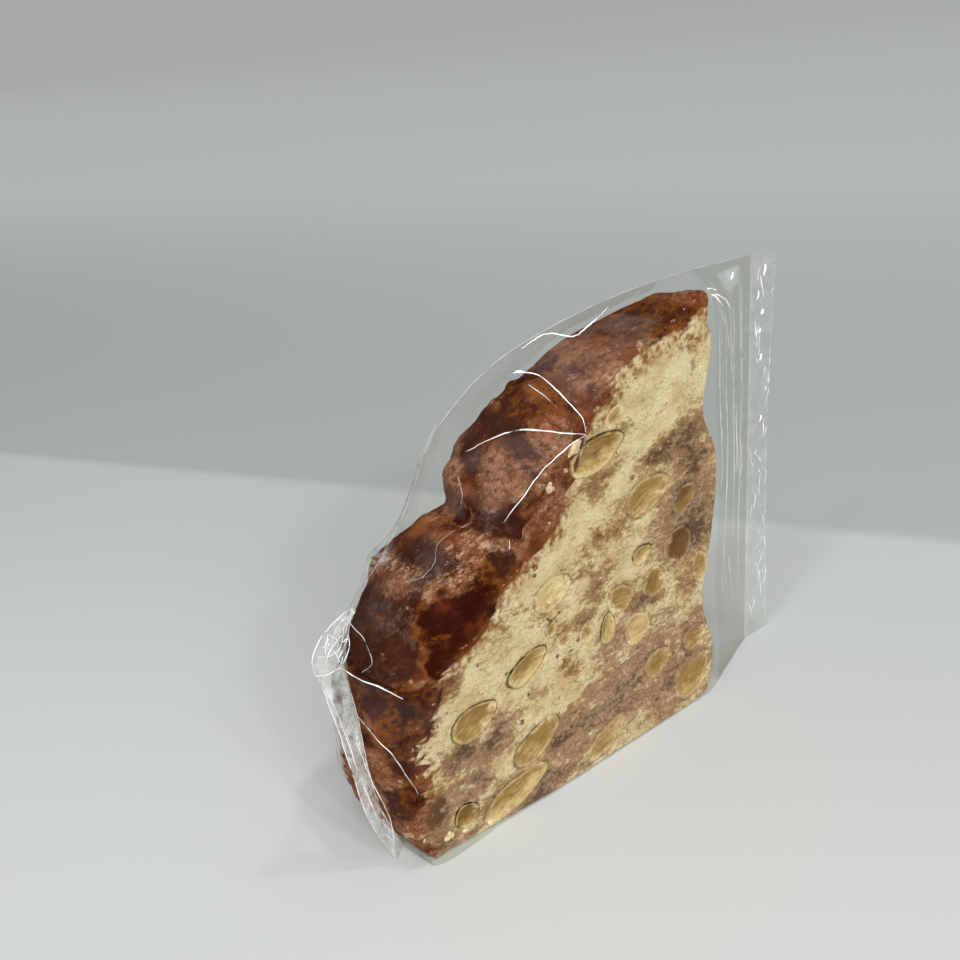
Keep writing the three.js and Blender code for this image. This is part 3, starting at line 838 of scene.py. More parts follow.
def film_material():
    """Clear film: what is behind shows through and light reflects more at a grazing look; welds are milky."""
    mat = Material("clear_film")
    weld = mat.value("weld")
    facing = mat.add("ShaderNodeLayerWeight", {"Blend": 0.5}, "Facing")
    reflection = mat.math("POWER", facing, 5) * 0.6 + FILM_REFLECTION + weld * 0.06
    cloudy = mat.noise(9, 4).step(0.4, 0.75) * 0.003
    # Painted sheen: milky white on the given facets, standing in for light they reflect.
    glare = mat.value("painted_sheen") * mat.noise(5, 4, 0.6).step(0.25, 0.6)
    ribs = weld * mat.noise(2.6, 4, 0.6).step(0.2, 0.75) * 0.45
    clear = mat.add("ShaderNodeBsdfTransparent", {"Color": CLEAR_TINT})
    shaded = mat.add("ShaderNodeBsdfTransparent", {"Color": SHADE_TINT})
    milk = mat.add("ShaderNodeBsdfDiffuse", {"Color": MILK_TINT})
    shine = mat.add("ShaderNodeBsdfGlossy", {"Color": WHITE, "Roughness": 0.04})
    # Painted shade where the empty value is high: the darker see-through tint.
    body = mat.blend(cloudy + glare + ribs, mat.blend(mat.value("empty"), clear, shaded), milk)
    return mat.finish(mat.blend(reflection, body, shine))


def painted_highlight_material():
    """Painted highlight: white and faintly glowing where its value is high, clear elsewhere."""
    mat = Material("painted_highlight")
    clear = mat.add("ShaderNodeBsdfTransparent", {})
    bright = mat.surface(WHITE, 0.25, 1.0, Emission_Color=WHITE, Emission_Strength=0.2)
    shown = mat.value("bright") * mat.noise(3, 3, 0.6).step(0.3, 0.52)
    return mat.finish(mat.blend(shown, clear, bright))


def crumb_material():
    """Pale nougat or brown cocoa, grainy."""
    mat = Material("crumbs")
    grain = mat.noise(0.5, 4, 0.7)
    pale = mat.mix(grain.step(0.4, 0.65), CREAM_LIGHT, CREAM_DARK)
    brown = mat.mix(grain.step(0.4, 0.65), CRUST_DUST, CRUST_DEEP)
    tone = mat.value("dark") + (mat.noise(0.9, 3) - 0.5) * 0.8
    whole = pale.under(tone.step(0.15, 0.75), brown)
    return mat.finish(mat.surface(whole, 0.75, 0.15, Normal=mat.bump(grain, 0.6)))


def print_material():
    """Dark ink, a little uneven."""
    mat = Material("label_print")
    ink = mat.mix(mat.noise(1.2, 4, 0.6).step(0.35, 0.7), INK_DARK, INK_LIGHT)
    return mat.finish(mat.surface(ink, 0.4, Normal=mat.bump(mat.noise(0.6, 3), 0.2)))


# ---- where the marbling lies ----

# Stains on the front cut: middle x, z, half length, half width, angle in degrees, cocoa, mauve.
STAINS = [
    (67, 49, 12, 14, 0, 1, 0.75), (66, 65, 12, 4.5, 12, 1, 0.6), (48, 55, 12, 5, 12, 0.65, 0.1),
    (37, 49, 8, 5, 45, 0.45, 0), (41, 43.5, 8, 3.6, 35, 0.75, 0.4), (40, 54, 4, 2.5, 20, 0.7, 0.2),
    (10.5, 19.5, 9, 4.5, 32, 1, 1), (44, 14, 27, 11, 20, 0.9, 0.95), (21, 6, 15, 5.5, 20, 0.75, 0.9),
    (62, 10, 16, 10, 5, 0.95, 0.8), (44, 27, 9, 6, 30, 0.7, 0.8), (-5, 5, 5, 7, 0, 0.9, 0.5),
    (31, 27, 4, 4, 0, 0.6, 0.2), (50, 36, 10, 6, 0, 0.6, 0.4), (41, 64, 4, 3, 0, 0.8, 0.4),
    (46, 84, 6, 2.5, 30, 0.5, 0), (70, 86, 3, 3, 0, 0.35, 0), (16, 42, 11, 4, 38, 0.36, 0),
    (27, 42, 6, 4, 30, 0.4, 0), (22, 24, 5, 3, 10, 0.45, 0.6), (0, 12, 6, 3, 30, 0.8, 0.7),
    (3, 2.5, 4, 2, 0, 0.6, 0.2), (60, 66, 9, 3.2, 25, 1.2, 0.3), (33, 56, 6, 4, 20, 0.15, 0),
    (29, 36, 5, 3, 20, 0.5, 0.1), (5, 12.5, 7, 4, 30, 0.9, 0.9), (68, 60, 7, 5, 0, 1.25, 0.5),
    # The stain at x 42, z 66, just under the big hollow almond, is painted shade.
    (42, 66, 7, 2, 15, 0.8, 0.2), (2.5, 20.5, 5, 4, 30, 1.5, 1), (19, 14, 7, 4, 20, 0.9, 0.9),
    (10, 7, 7, 4, 20, 0.8, 0.9), (68, 44, 8, 7, 0, 1.4, 0.7), (67, 31.5, 6, 5, 0, 0.75, 0.5),
    (30, 16.4, 6, 3, 10, 0.9, 0.7), (37, 38, 5, 4, 20, 0.75, 0.3), (52, 34, 9, 5, 0, 0.85, 0.5),
    (20, 2, 11, 3, 10, 1.3, 0.9), (48, 74.2, 4, 3, 20, 0.55, 0.1), (67.5, 18.4, 7, 5, 20, 1, 0.7),
    (68, 44, 5, 5, 0, 1.7, 0.8), (27.4, 12.8, 5, 3, 20, 1.35, 0.8), (2, 36.8, 3, 2, 30, 1, 0.4),
    (-5, 11, 4.5, 5, 0, 1.6, 0.7), (-2.7, 2.7, 5, 3, 0, 0.8, 0.6), (64.8, 52.7, 5, 4, 0, 1.5, 0.5),
    (18, 30, 4, 2.5, 20, 0.5, 0.1),
]
# Dark crumbs and short cracks in the front cut: middle x, z, radius and how dark; then width and points.
MARKS = [
    (24.5, 53.4, 1.1, 1), (24.2, 51.8, 0.8, 1), (51, 63, 0.9, 1), (17.5, 20.7, 0.9, 1),
    (28.3, 31, 0.8, 0.9), (15.3, 33.5, 0.6, 0.9), (-1.5, 30.5, 0.8, 0.8), (30.4, 48.6, 1.7, 0.6),
    (40.5, 54.6, 1.9, 0.6), (27.6, 21.4, 0.6, 1), (20, 26, 0.6, 0.8), (34, 32, 0.7, 0.9),
    (60, 60, 1.2, 0.3), (31.6, 50.4, 1.4, 0.6), (44, 66, 2.2, 0.5), (47.5, 69, 1.8, 0.5),
]
MARK_LINES = [
    (0.22, [(26.2, 41), (27.4, 40.1), (28.6, 40.4), (29.8, 41)]), (0.2, [(27.6, 40), (26.6, 38),
        (26.9, 36.4)]),
    (0.18, [(29.4, 27.5), (31, 30.2), (33.6, 30.8)]),
]
# Wet dark patches on the crust: middle x, y, z, radius and how dark.
WET_PATCHES = [
    (11, 1.5, 51, 5, 0.9), (5.5, 3.5, 48.5, 6, 1), (6, 5, 52.5, 3.2, 0.8), (13, 3, 55.5, 3, 0.6),
    (1.5, 1.2, 42.5, 3.2, 0.9), (-5, 2.5, 36.5, 4, 0.62), (-9, 3, 30, 5, 0.5), (-8.6, 1, 17, 3, 0.6),
    (15.5, 10, 64.6, 2, 0.75), (24, 9, 74, 4, 0.3), (33, 7, 83, 5, 0.3), (-10, 20, 30, 9, 0.5),
    (10, 24, 57, 8, 0.7), (40, 18, 86, 8, 0.6), (20, 22, 67, 6, 0.5), (68, 5, 93, 3, 0.4),
]
# Where the crust is pale with flecks, dusty or deep brown, and where its edge is torn or has rusty dust: the
# value away from all spots, then the spots' middle x, z, radius and value.
SPOTTED = {
    "fleck": (0.25, [
        (11, 57.5, 5, 1.1), (5, 55.5, 5, 1.2), (-1.5, 49.5, 4, 1.1), (18, 62, 6, 0.9), (28, 68, 8, 0.5),
        (-8, 40, 5, 0.6), (60, 93, 10, 0.4), (-10, 16, 6, 0.6),
    ]),
    "torn": (0.04, [
        (-5, 24, 9, 1), (-6, 8, 8, 0.9), (66, 90, 11, 0.25), (46, 82, 7, 0.35), (34, 66, 6, 0.25),
        (2, 38, 5, 0.3),
    ]),
    "dusty": (0.1, [
        (24, 70, 10, 0.8), (19, 61.5, 6, 1.1), (14, 60, 6, 0.7), (45, 87, 7, 0.9), (2, 54, 6, 0.4),
        (30, 64, 5, 1), (-10, 16.5, 6, 1.1), (-11, 8.5, 5, 0.9), (-12, 24, 3, 0.9), (9.5, 56, 2.6, 1),
        (-2, 38.8, 3, 0.9), (1, 53, 5, 0.7),
    ]),
    "deep": (0, [
        (-8, 30, 8, 0.7), (-4, 35, 6, 1), (-9, 46, 7, 0.5), (30, 78.5, 8, 0.8), (8, 50, 9, 0.4),
        (58, 91.5, 6, 0.75), (65, 94.5, 5, 0.8), (44, 81, 4, 0.5), (24, 78, 7, 0.7), (29, 83, 7, 1),
        (17.5, 57, 3.4, 1), (-4.6, 50.5, 5, 0.8), (-4.8, 33, 4, 1), (6, 60, 3, 0.5), (-6.4, 45, 4, 1.1),
        (-8, 27, 4, 1), (-8, 15, 4, 0.7),
    ]),
    "rusty": (0, [
        (64, 89.5, 9, 1), (72, 90, 6, 1), (54, 87, 6, 0.8), (46, 82, 6, 0.6), (29, 60, 6, 0.7),
        (25, 66, 5, 0.6), (-6, 20, 8, 0.3), (21, 56, 5, 0.9), (13, 48.5, 5, 0.9), (5, 42.5, 4, 0.6),
    ]),
}


def spot_field(points, spots, least=0.0, core=0.4, reach=1.3):
    """Value at each point from round spots: amount within core of the radius, least from reach on.

    A spot's middle is x and z, and then it runs through the whole depth, or x, y and z.
    """
    field = np.full(points.shape[:-1], float(least))
    for *middle, radius, amount in spots:
        place = points if len(middle) == 3 else points[..., ::2]
        distance = np.linalg.norm(place - middle, axis=-1)
        field = np.maximum(field, amount * smooth_step(distance, reach * radius, core * radius))
    return field


def mark_field(points):
    """How much a dark crumb or a crack marks the front cut at each point."""
    x, y, z = axes(points)
    field = spot_field(points, MARKS)
    for width, line in MARK_LINES:
        field = np.maximum(field, smooth_step(approach(curve(line, 14), x, z)[0], 2.2 * width, 0.6 * width))
    return field * smooth_step(y, 6, 3)


def stain_fields(points, stains):
    """Cocoa and mauve shares at each point from a list of stains with wavering outlines."""
    x, _, z = axes(points)
    x = x + 3 * fractal(points, 9, 3, 41)
    z = z + 3 * fractal(points, 9, 3, 44)
    fields = np.zeros((2, *x.shape))
    for cx, cz, length, width, degrees, *amounts in stains:
        along, across = turned(x - cx, z - cz, degrees)
        share = np.exp(-((along / length) ** 2) - (across / width) ** 2)
        fields = np.maximum(fields, np.multiply.outer(amounts, share))
    return fields


def scatter_stains(count, seed):
    """Stains for the back cut by a seeded draw."""
    rng = np.random.default_rng(seed)
    ranges = ((0, 74), (0, 85), (5, 16), (3, 8), (10, 50), (0.3, 0.9), (0, 0.9))
    return [[rng.uniform(low, high) for low, high in ranges] for _ in range(count)]


back_stains = scatter_stains(22, 61)


def slice_values(points, relief):
    """Values by point that the slice's material reads."""
    x, y, z = axes(points)
    to_back = smooth_step(y / slice_thickness(x), 0.3, 0.7)
    cocoa, mauve = stain_fields(points, STAINS) * (1 - to_back) + stain_fields(points, back_stains) * to_back
    values = {name: spot_field(points, spots, least) for name, (least, spots) in SPOTTED.items()}
    return values | {
        "cocoa": cocoa, "mauve": mauve, "wet": spot_field(points, WET_PATCHES, 0, 0.6, 1.5),
        "mark": mark_field(points), "relief": relief, "crust_side": crust_side(x, z),
    }


# ---- almonds ----

ALMOND_SPOKES = 56
ALMOND_RINGS = np.array([0.12, 0.26, 0.4, 0.54, 0.66, 0.76, 0.84, 0.9, 0.94, 0.97, 0.99, 1])
HOLLOW_DEPTH = 2  # of the dish in an almond that is wholly hollow
ALMOND_RIM_DROP = 1.2  # how far the almond's outermost ring is sunk into its pocket


def almond_mesh(almond, seed):
    """One cut almond in its pocket: x, z and height by ring and spoke, and what its material reads."""
    cx, cz, length, width, degrees, tone, skin, hollow = almond
    spokes = np.linspace(0, 2 * np.pi, ALMOND_SPOKES, endpoint=False)[None]
    reach = ALMOND_RINGS[:, None]
    around = xyz(np.cos(spokes), np.sin(spokes), seed)
    wobble = 1 + 0.09 * noise(around, 0.8, seed) + 0.03 * noise(around, 0.25, seed + 9)
    share_along, share_across = reach * np.cos(spokes), reach * np.sin(spokes)
    along = length / 2 * share_along * wobble
    across = width / 2 * share_across * (1 - ALMOND_TAPER * share_along) * wobble
    x, z = turned(along, across, -degrees)
    x, z = cx + x, cz + z
    flat = xyz(x, seed, z)
    dish = hollow * HOLLOW_DEPTH * (1 - smooth_step(reach, 0.35, 0.9)) * (0.8 + 0.4 * noise(flat, 3, seed))
    height = 0.02 - dish - 0.15 * (1 - reach**2) * noise(flat, 5, seed) + 0.08 * fractal(flat, 1.6, 4)
    height = height - ALMOND_RIM_DROP * smooth_step(reach, 0.985, 1)
    side = 2 * np.pi * noise(np.array([seed * 1.7, 0.3, 0.6]), 1.0)
    toward = share_along * np.cos(side) + share_across * np.sin(side)
    bare_until = 0.3 + 0.4 * min(tone, 0)
    smeared = smooth_step(toward + 0.35 * noise(flat, 2.2, seed + 2), bare_until, bare_until + 0.5)
    upper = 0.5 + 0.5 * np.sin(spokes + math.radians(degrees) * 0.5 + 0.2)
    broken = smooth_step(noise(around, 0.3, seed + 3), -0.7, 0.1)
    groove = ((share_across + 0.12 * np.cos(3 * share_along + seed)) / 0.2) ** 2 + (share_along / 0.55) ** 2
    values = {
        "to_rim": (1 - reach) * width / 2,
        # The tone darkens towards one side, more so in a hollow almond: painted shade of the dish.
        "tone": tone + 0.35 * noise(flat, 4, seed + 5) + 0.3 * share_across * (1 + hollow),
        "skin": np.clip((0.45 + 0.75 * upper) * (0.4 + 0.6 * broken), 0, 1) * skin,
        # The groove is partly the split line, and darker in hollow almonds as painted shade.
        "groove": np.exp(-groove) * (0.2 + 0.6 * hollow),
        "smeared": smeared * (hollow < 0.45) * (1.1 - 0.6 * skin),
        "along": along / 4 + 9 * seed, "across": across,
    }
    return x, z, height, {name: np.broadcast_to(value, x.shape).ravel() for name, value in values.items()}


def build_almonds():
    """All the cut almonds, each with a middle point inside its rings."""
    built = Parts()
    first = np.arange(ALMOND_SPOKES) + 1
    fan = np.stack([0 * first, np.roll(first, -1), first], axis=1)
    quads = grid_faces(len(ALMOND_RINGS), ALMOND_SPOKES, close_columns=True) + 1
    for side, almonds in ((-1, FRONT_ALMONDS), (1, back_almonds)):
        for seed, almond in enumerate(almonds):
            x, z, height, values = almond_mesh(almond, seed + 50 * (side > 0))
            face_y = slice_thickness(x) - FACE_INSET if side > 0 else FACE_INSET
            height = height + cut_waves(xyz(x, face_y, z))
            shell = settle(xyz(x, face_y + side * height, z))
            points = np.vstack([shell[0].mean(axis=0), shell.reshape(-1, 3)])
            faces = [face[::side] for face in (*quads, *fan)]
            built.add(points, faces, {name: np.r_[value[0], value] for name, value in values.items()})
    points, faces, values = built.whole()
    return points, faces, values | slice_values(points, np.zeros(len(points)))


# ---- film ----

SHEET_COLUMNS = 170
SHEET_ROWS = 196
WELD_COLUMNS = 12
CLEARANCE = 0.12  # least gap between the film and the slice
FILM_GAP = 0.12  # half the distance between the two sheets where they meet
WELD_CORE = 0.18  # thickness of a weld
RIB_DEPTH = 0.14
RIB_STEP = 1.6  # crimp ribs of the welds, from crest to crest
RASTER = 0.5  # cell size of the height map that the film is laid over
RASTER_SIZE = (260, 220)  # its cells along X and Z, from X = RASTER_LEFT and Z = 0
RASTER_LEFT = -20
RELAXING = 1500  # rounds in which the film is drawn tight
WIRE_LIFT = 0.7  # how far a crease's line stands off the slice under it
BAND_HEIGHT = 0.5  # how far the welds that lie folded on the back stand off it
BAND_RIBS = 0.15
FOLD_LENGTH = 50  # of the part of the end weld that lies folded on the back
LEFT_WELD_NORMAL = (-0.206, -0.979, 0)
FILM_FOOT = 0.02  # height of the film's underside
folded_weld = curve(TOP_FOLD, 81)[:27]


def sheet_places():
    """(x, z) of the film's sheets for columns from the left to the right weld and rows from base to top."""
    u = np.linspace(0, 1, SHEET_COLUMNS + 1)[:, None, None]
    v = np.linspace(0, 1, SHEET_ROWS + 1)[None, :, None]
    left = curve(WELD_ROOT, SHEET_ROWS + 1)[None, :, [0, 2]]
    top = curve(TOP_FOLD, SHEET_COLUMNS + 1)[:, None, [0, 2]]
    start, corner = left[:, :1], left[:, -1:]
    base = start + u * (np.array([RIGHT_WELD_X, 0]) - start)
    bulge = (left - start - v * (corner - start)) * (1 - u)
    return (1 - v) * base + top * v + bulge


def raster_cells(x, z):
    """Column and row of the height map at each place."""
    return ((x - RASTER_LEFT) / RASTER).astype(int), (z / RASTER).astype(int)


def height_map(points, sign):
    """Lowest sign * y over a raster of (x, z), where the slice has any point."""
    columns, rows = RASTER_SIZE
    lowest = np.full(RASTER_SIZE, np.inf)
    np.minimum.at(lowest, raster_cells(points[:, 0], points[:, 2]), sign * points[:, 1])
    padded = np.pad(lowest, 1, constant_values=np.inf)
    return np.min([padded[a:a + columns, b:b + rows] for a in range(3) for b in range(3)], axis=0)


def sheet_depths(place, slice_points, sign, wires):
    """Taut depths of one sheet over the slice and over the creases' wires, by relaxing a membrane."""
    x, z = np.moveaxis(place, -1, 0)
    i, j = raster_cells(x, z)
    i, j = np.clip(i, 0, RASTER_SIZE[0] - 1), np.clip(j, 0, RASTER_SIZE[1] - 1)
    limit = height_map(slice_points, sign)[i, j] - CLEARANCE
    for _, _, wire in wires:
        chain = curve(wire, 30)
        distance, along = approach(chain, x, z)
        wire_y = np.interp(along, np.linspace(0, 1, len(chain)), sign * chain[:, 1])
        lift = WIRE_LIFT * np.sin(np.pi * np.clip(along, 0.03, 0.97)) ** 0.5
        limit = np.where(distance < 0.45, np.minimum(wire_y, limit - lift), limit)
    left = sign * curve(WELD_ROOT, SHEET_ROWS + 1)[:, 1] - FILM_GAP
    top = sign * curve(TOP_FOLD, SHEET_COLUMNS + 1)[:, 1] - FILM_GAP
    right = sign * RIGHT_WELD_Y - FILM_GAP
    depth = np.minimum(limit, top[:, None] * np.ones(limit.shape))
    for _ in range(RELAXING):
        depth[0], depth[-1], depth[:, -1] = left, right, top
        depth[1:-1, 1:-1] = 0.25 * (
            depth[:-2, 1:-1] + depth[2:, 1:-1] + depth[1:-1, :-2] + depth[1:-1, 2:])
        depth[:, 0] = depth[:, 1]
        depth = np.minimum(depth, limit)
    depth[0], depth[-1], depth[:, -1] = left, right, top
    return sign * depth


def weld_columns(root, rim, normal, slack):
    """Front and back faces of a weld, from its root to its rim, with crimp ribs across it."""
    share = np.linspace(0, 1, WELD_COLUMNS + 1)[1:, None, None]
    middle = root[None] * (1 - share) + rim[None] * share
    rib = RIB_DEPTH * np.sin(2 * np.pi * root[:, 2] / RIB_STEP)
    rib[[0, -1]] = 0
    ridges = 1 - 2.5 * np.abs(fractal(middle, (4, 4, 8), 3, 77))
    crumple = slack * share[..., 0] ** 0.5 * ridges * np.sin(np.linspace(0, np.pi, len(root))) ** 0.3
    middle = middle + (rib[None] + crumple)[..., None] * normal
    core = np.multiply(normal, WELD_CORE / 2)
    return middle + core, middle - core


def painted_sheen_field(x, z):
    """How much painted sheen, as milky white, the front sheet has at each place."""
    painted_sheen = np.zeros(x.shape)
    for amount, outline in SHEEN_FACETS:
        to_rim = approach([*outline, outline[0]], x, z)[0]
        depth = np.where(inside(np.array(outline, float), x, z), to_rim, 0)
        painted_sheen = np.maximum(painted_sheen, amount * smooth_step(depth, 0, 0.9))
    return painted_sheen


def painted_shade_field(x, z):
    """Painted shade on the front sheet: near 1 where nothing but film is behind it, up to 0.4 at its foot, 0
    elsewhere over the slice.
    """
    past_slice = np.minimum(smooth_step(x, 76, 79), 0.9)
    return np.maximum(past_slice, 0.4 * smooth_step(z, 2.8, 0.8) * smooth_step(x, 14, 2))


def back_bands(x, z):
    """Where the fin weld and the folded end weld lie on the back sheet, 0 to 1, and their ribs' height."""
    fin = np.minimum(FIN_Z - z, z - (FIN_Z - FIN_WIDTH))
    to_fold, along_fold = approach(folded_weld, x, z)
    ribs = np.sin(2 * np.pi * np.where(fin > 0, x, along_fold * FOLD_LENGTH) / RIB_STEP)
    band = smooth_step(np.maximum(fin, WELD_WIDTH - to_fold), 0, 0.7)
    return band, BAND_RIBS * ribs * band


def foot_flare(x, z):
    """How far the film stands out at its foot, where its flat underside folds up into the front sheet."""
    reach = 0.1 + 1.4 * np.exp(-(((x + 3) / 8) ** 2)) + 0.15 * np.sin(0.35 * x) ** 2
    return reach * smooth_step(z, 2.6, 0)


def build_corner():
    """The loose corner of film at the top of the left weld, crumpled into facets."""
    steps = 60
    share = np.linspace(0, 1, steps)[None, :, None]
    sheet = curve(CORNER_ROOT, steps)[:, None] * (1 - share) + curve(CORNER_EDGE, steps)[:, None] * share
    ridges = 1 - 2.4 * np.abs(fractal(sheet, (3.8, 6, 3.8), 3, 31))
    sheet[..., 1] -= 1.5 * ridges * np.sin(np.pi * np.clip(share[..., 0], 0.02, 0.9))
    nothing = np.zeros(steps * steps)
    values = {"weld": nothing + 0.5, "painted_sheen": nothing, "empty": nothing}
    return sheet.reshape(-1, 3), grid_faces(steps, steps), values


def right_weld():
    """Root and rim of the right end weld, which bows a little to the back."""
    heights = np.linspace(0, TUBE_HEIGHT, SHEET_ROWS + 1)
    bow = RIGHT_WELD_BOW * np.sin(np.pi * heights / TUBE_HEIGHT)
    root = xyz(RIGHT_WELD_X, RIGHT_WELD_Y, heights)
    return root, root + xyz(WELD_WIDTH, bow, 0)


def between_welds(sheet, left=0.0, right=0.0):
    """Values of the whole width of one side of the film, from those of its sheet and its two welds."""
    rows = sheet.shape[1]
    return np.r_[np.full(WELD_COLUMNS * rows, left), sheet.ravel(), np.full(WELD_COLUMNS * rows, right)]


def closed_film(front, back):
    """The film's points and faces: both sides of it, joined along their four edges."""
    columns, rows = front.shape[:2]
    total = columns * rows
    points = np.concatenate([front.reshape(-1, 3), back.reshape(-1, 3)])
    quads = grid_faces(columns, rows)
    faces = [quads[:, ::-1], quads + total]
    index = np.arange(total).reshape(columns, rows)
    for line, flip in ((index[:, 0], 1), (index[:, -1], -1), (index[0], -1), (index[-1], 1)):
        faces.append(np.stack([line[:-1], line[1:], line[1:] + total, line[:-1] + total], axis=1)[:, ::flip])
    return raised(points, FILM_FOOT), np.concatenate(faces)


def build_film(slice_points):
    """The closed film, and the points of its front and of its back sheet."""
    place = sheet_places()
    x, z = np.moveaxis(place, -1, 0)
    band, band_ribs = back_bands(x, z)
    away = np.sin(np.pi * np.linspace(0, 1, SHEET_COLUMNS + 1))[:, None] ** 0.4
    front = xyz(x, sheet_depths(place, slice_points, 1, CREASES) - foot_flare(x, z), z)
    back = xyz(x, sheet_depths(place, slice_points, -1, []) + away * (BAND_HEIGHT * band + band_ribs), z)
    left = curve(WELD_ROOT, SHEET_ROWS + 1), curve(LEFT_WELD_RIM, SHEET_ROWS + 1)
    left_front, left_back = weld_columns(*left, LEFT_WELD_NORMAL, 0.9)
    right_front, right_back = weld_columns(*right_weld(), (0, -1, 0), 0.5)
    points, faces = closed_film(
        np.concatenate([left_front[::-1], front, right_front]),
        np.concatenate([left_back[::-1], back, right_back]))
    nothing = between_welds(np.zeros(x.shape))
    values = {
        "weld": [between_welds(0 * x, 0.9, 0.2), between_welds(0.55 * band * away, 0.9, 0.2)],
        "painted_sheen": [between_welds(painted_sheen_field(x, z)), nothing],
        "empty": [between_welds(painted_shade_field(x, z)), nothing],
    }
    values = {name: np.concatenate(sides) for name, sides in values.items()}
    return (points, faces, values), front.reshape(-1, 3), back.reshape(-1, 3)


# ---- painted highlights: bright lines along the film's folds ----

LINE_THINNESS = 0.85  # share of the radius given that the bright lines are made with
RIGHT_WELD_ROOT = [(RIGHT_WELD_X, 5.7, z) for z in (1, 30, 60, 97)]
RIGHT_WELD_RIM = [(103, 6.4, 1), (103, 7.2, 30), (103, 7.4, 60), (103, 6.4, 97)]
WEDGE = [(79, 4.6, 14), (80.5, 4.6, 50), (80, 4.6, 92)], [(93, 5.6, 4), (93, 5.6, 50), (93, 5.6, 95)]
# Painted glints: strokes strewn over the welds, the empty film beside the slice and the loose corner: seed,
# count, the two curves they lie between, and the ranges of their lengths, radii and brightnesses.
WELD_STROKES = [
    (3, 46, WELD_ROOT, LEFT_WELD_RIM, (1.5, 7), (0.04, 0.11), (0.3, 0.9)),
    (4, 60, RIGHT_WELD_ROOT, RIGHT_WELD_RIM, (1, 6), (0.05, 0.16), (0.2, 0.7)),
]
WEDGE_STROKES = (5, 16, *WEDGE, (5, 26), (0.04, 0.09), (0.15, 0.5))
CORNER_STROKES = (6, 26, CORNER_ROOT, CORNER_EDGE, (1.5, 5), (0.05, 0.12), (0.4, 0.9))
# Painted glints, blobs of light on the right end weld: x, z, length and radius.
WELD_GLINTS = [
    (87.4, 94.4, 1.4, 0.35), (98.2, 92.8, 2.4, 0.5), (97.5, 84.3, 1.2, 0.4), (96.9, 80.1, 1, 0.3),
    (97.5, 73.6, 1.6, 0.35), (97.9, 58.6, 1.6, 0.3), (96, 88, 1.8, 0.25), (99.5, 66, 1.2, 0.25),
]


def tube_along(path, radius, sides=6):
    """Points and quads of a thin tube of uneven width along a path, tapered at both ends."""
    forward = np.gradient(path, axis=0)
    forward /= np.linalg.norm(forward, axis=1, keepdims=True)
    side = np.cross(forward, (0, 1, 0))
    side /= np.maximum(np.linalg.norm(side, axis=1, keepdims=True), 1e-6)
    up = np.cross(side, forward)
    taper = np.sin(np.linspace(0.12, np.pi - 0.12, len(path)))[:, None] ** 0.5
    taper = taper * (0.72 + 0.38 * noise(path, 2.2, 5) + 0.15 * noise(path, 0.8, 6))[:, None]
    angles = 2 * np.pi * np.arange(sides) / sides
    rings = [path + radius * taper * (side * math.cos(a) + up * math.sin(a)) for a in angles]
    return np.stack(rings, axis=1), grid_faces(len(path), sides, close_columns=True)


def lay_on_film(path, sheet):
    """The path with its depths taken from the nearest points of one of the film's sheets."""
    laid = path.copy()
    for k, point in enumerate(path):
        distance = np.hypot(sheet[:, 0] - point[0], sheet[:, 2] - point[2])
        nearest = np.argpartition(distance, 4)[:4]
        weight = 1 / (distance[nearest] + 0.05)
        laid[k, 1] = np.sum(sheet[nearest, 1] * weight) / weight.sum()
    return laid


def strokes(seed, count, root, rim, lengths, radii, glows):
    """Short bright strokes, painted glints, strewn by a seeded draw over the band between two curves, along
    the band.
    """
    rng = np.random.default_rng(seed)
    root, rim = curve(root, 200), curve(rim, 200)
    whole = np.linalg.norm(np.diff(root, axis=0), axis=1).sum()
    made = []
    for _ in range(count):
        start, share = rng.uniform(0.02, 0.96), rng.uniform(0.08, 0.95)
        at = np.linspace(start, min(start + rng.uniform(*lengths) / whole, 0.99), 8)
        place = (at * 199).astype(int)
        drift = share + rng.uniform(-0.25, 0.25) * np.linspace(0, 1, 8)
        path = root[place] + (rim[place] - root[place]) * np.clip(drift, 0.05, 0.97)[:, None]
        path = curve(path[::2] + 0.12 * rng.standard_normal((4, 3)) * (1, 0.3, 1), 16)
        made.append((rng.uniform(*radii), rng.uniform(*glows), path))
    return made


def weld_glint(x, z, length, radius):
    """The line of one painted glint on the right end weld."""
    return radius, 0.9, curve([(x - 0.3, 5.7, z), (x, 5.6, z + length / 2), (x + 0.2, 5.7, z + length)], 12)


def build_painted_highlights(sheet, corner):
    """Painted highlights: bright lines along the film's creases and along the edges of its welds and its top
    fold.
    """
    lines = [(radius, glow, lay_on_film(curve(wire, 46), sheet)) for radius, glow, wire in CREASES]
    lines += [(radius, glow, curve(wire, 160)) for radius, glow, wire in EDGE_HIGHLIGHTS]
    for strewn in WELD_STROKES:
        lines += strokes(*strewn)
    lines += [weld_glint(*glint) for glint in WELD_GLINTS]
    for strewn, under in ((WEDGE_STROKES, sheet), (CORNER_STROKES, corner)):
        lines += [(radius, glow, lay_on_film(path, under)) for radius, glow, path in strokes(*strewn)]
    built = Parts()
    for radius, glow, path in lines:
        path = path + (0, -0.06, 0) + 0.1 * np.stack([noise(path, 1.7, k) for k in (2, 3, 4)], axis=-1)
        path = raised(path, radius + 0.05)
        rings, quads = tube_along(path, LINE_THINNESS * radius)
        bright = np.clip(glow * (0.8 + 0.3 * noise(path, 3, 9)), 0, 1)
        built.add(rings, quads, {"bright": np.repeat(bright, rings.shape[1])})
    return built.whole()


# ---- crumbs and print ----

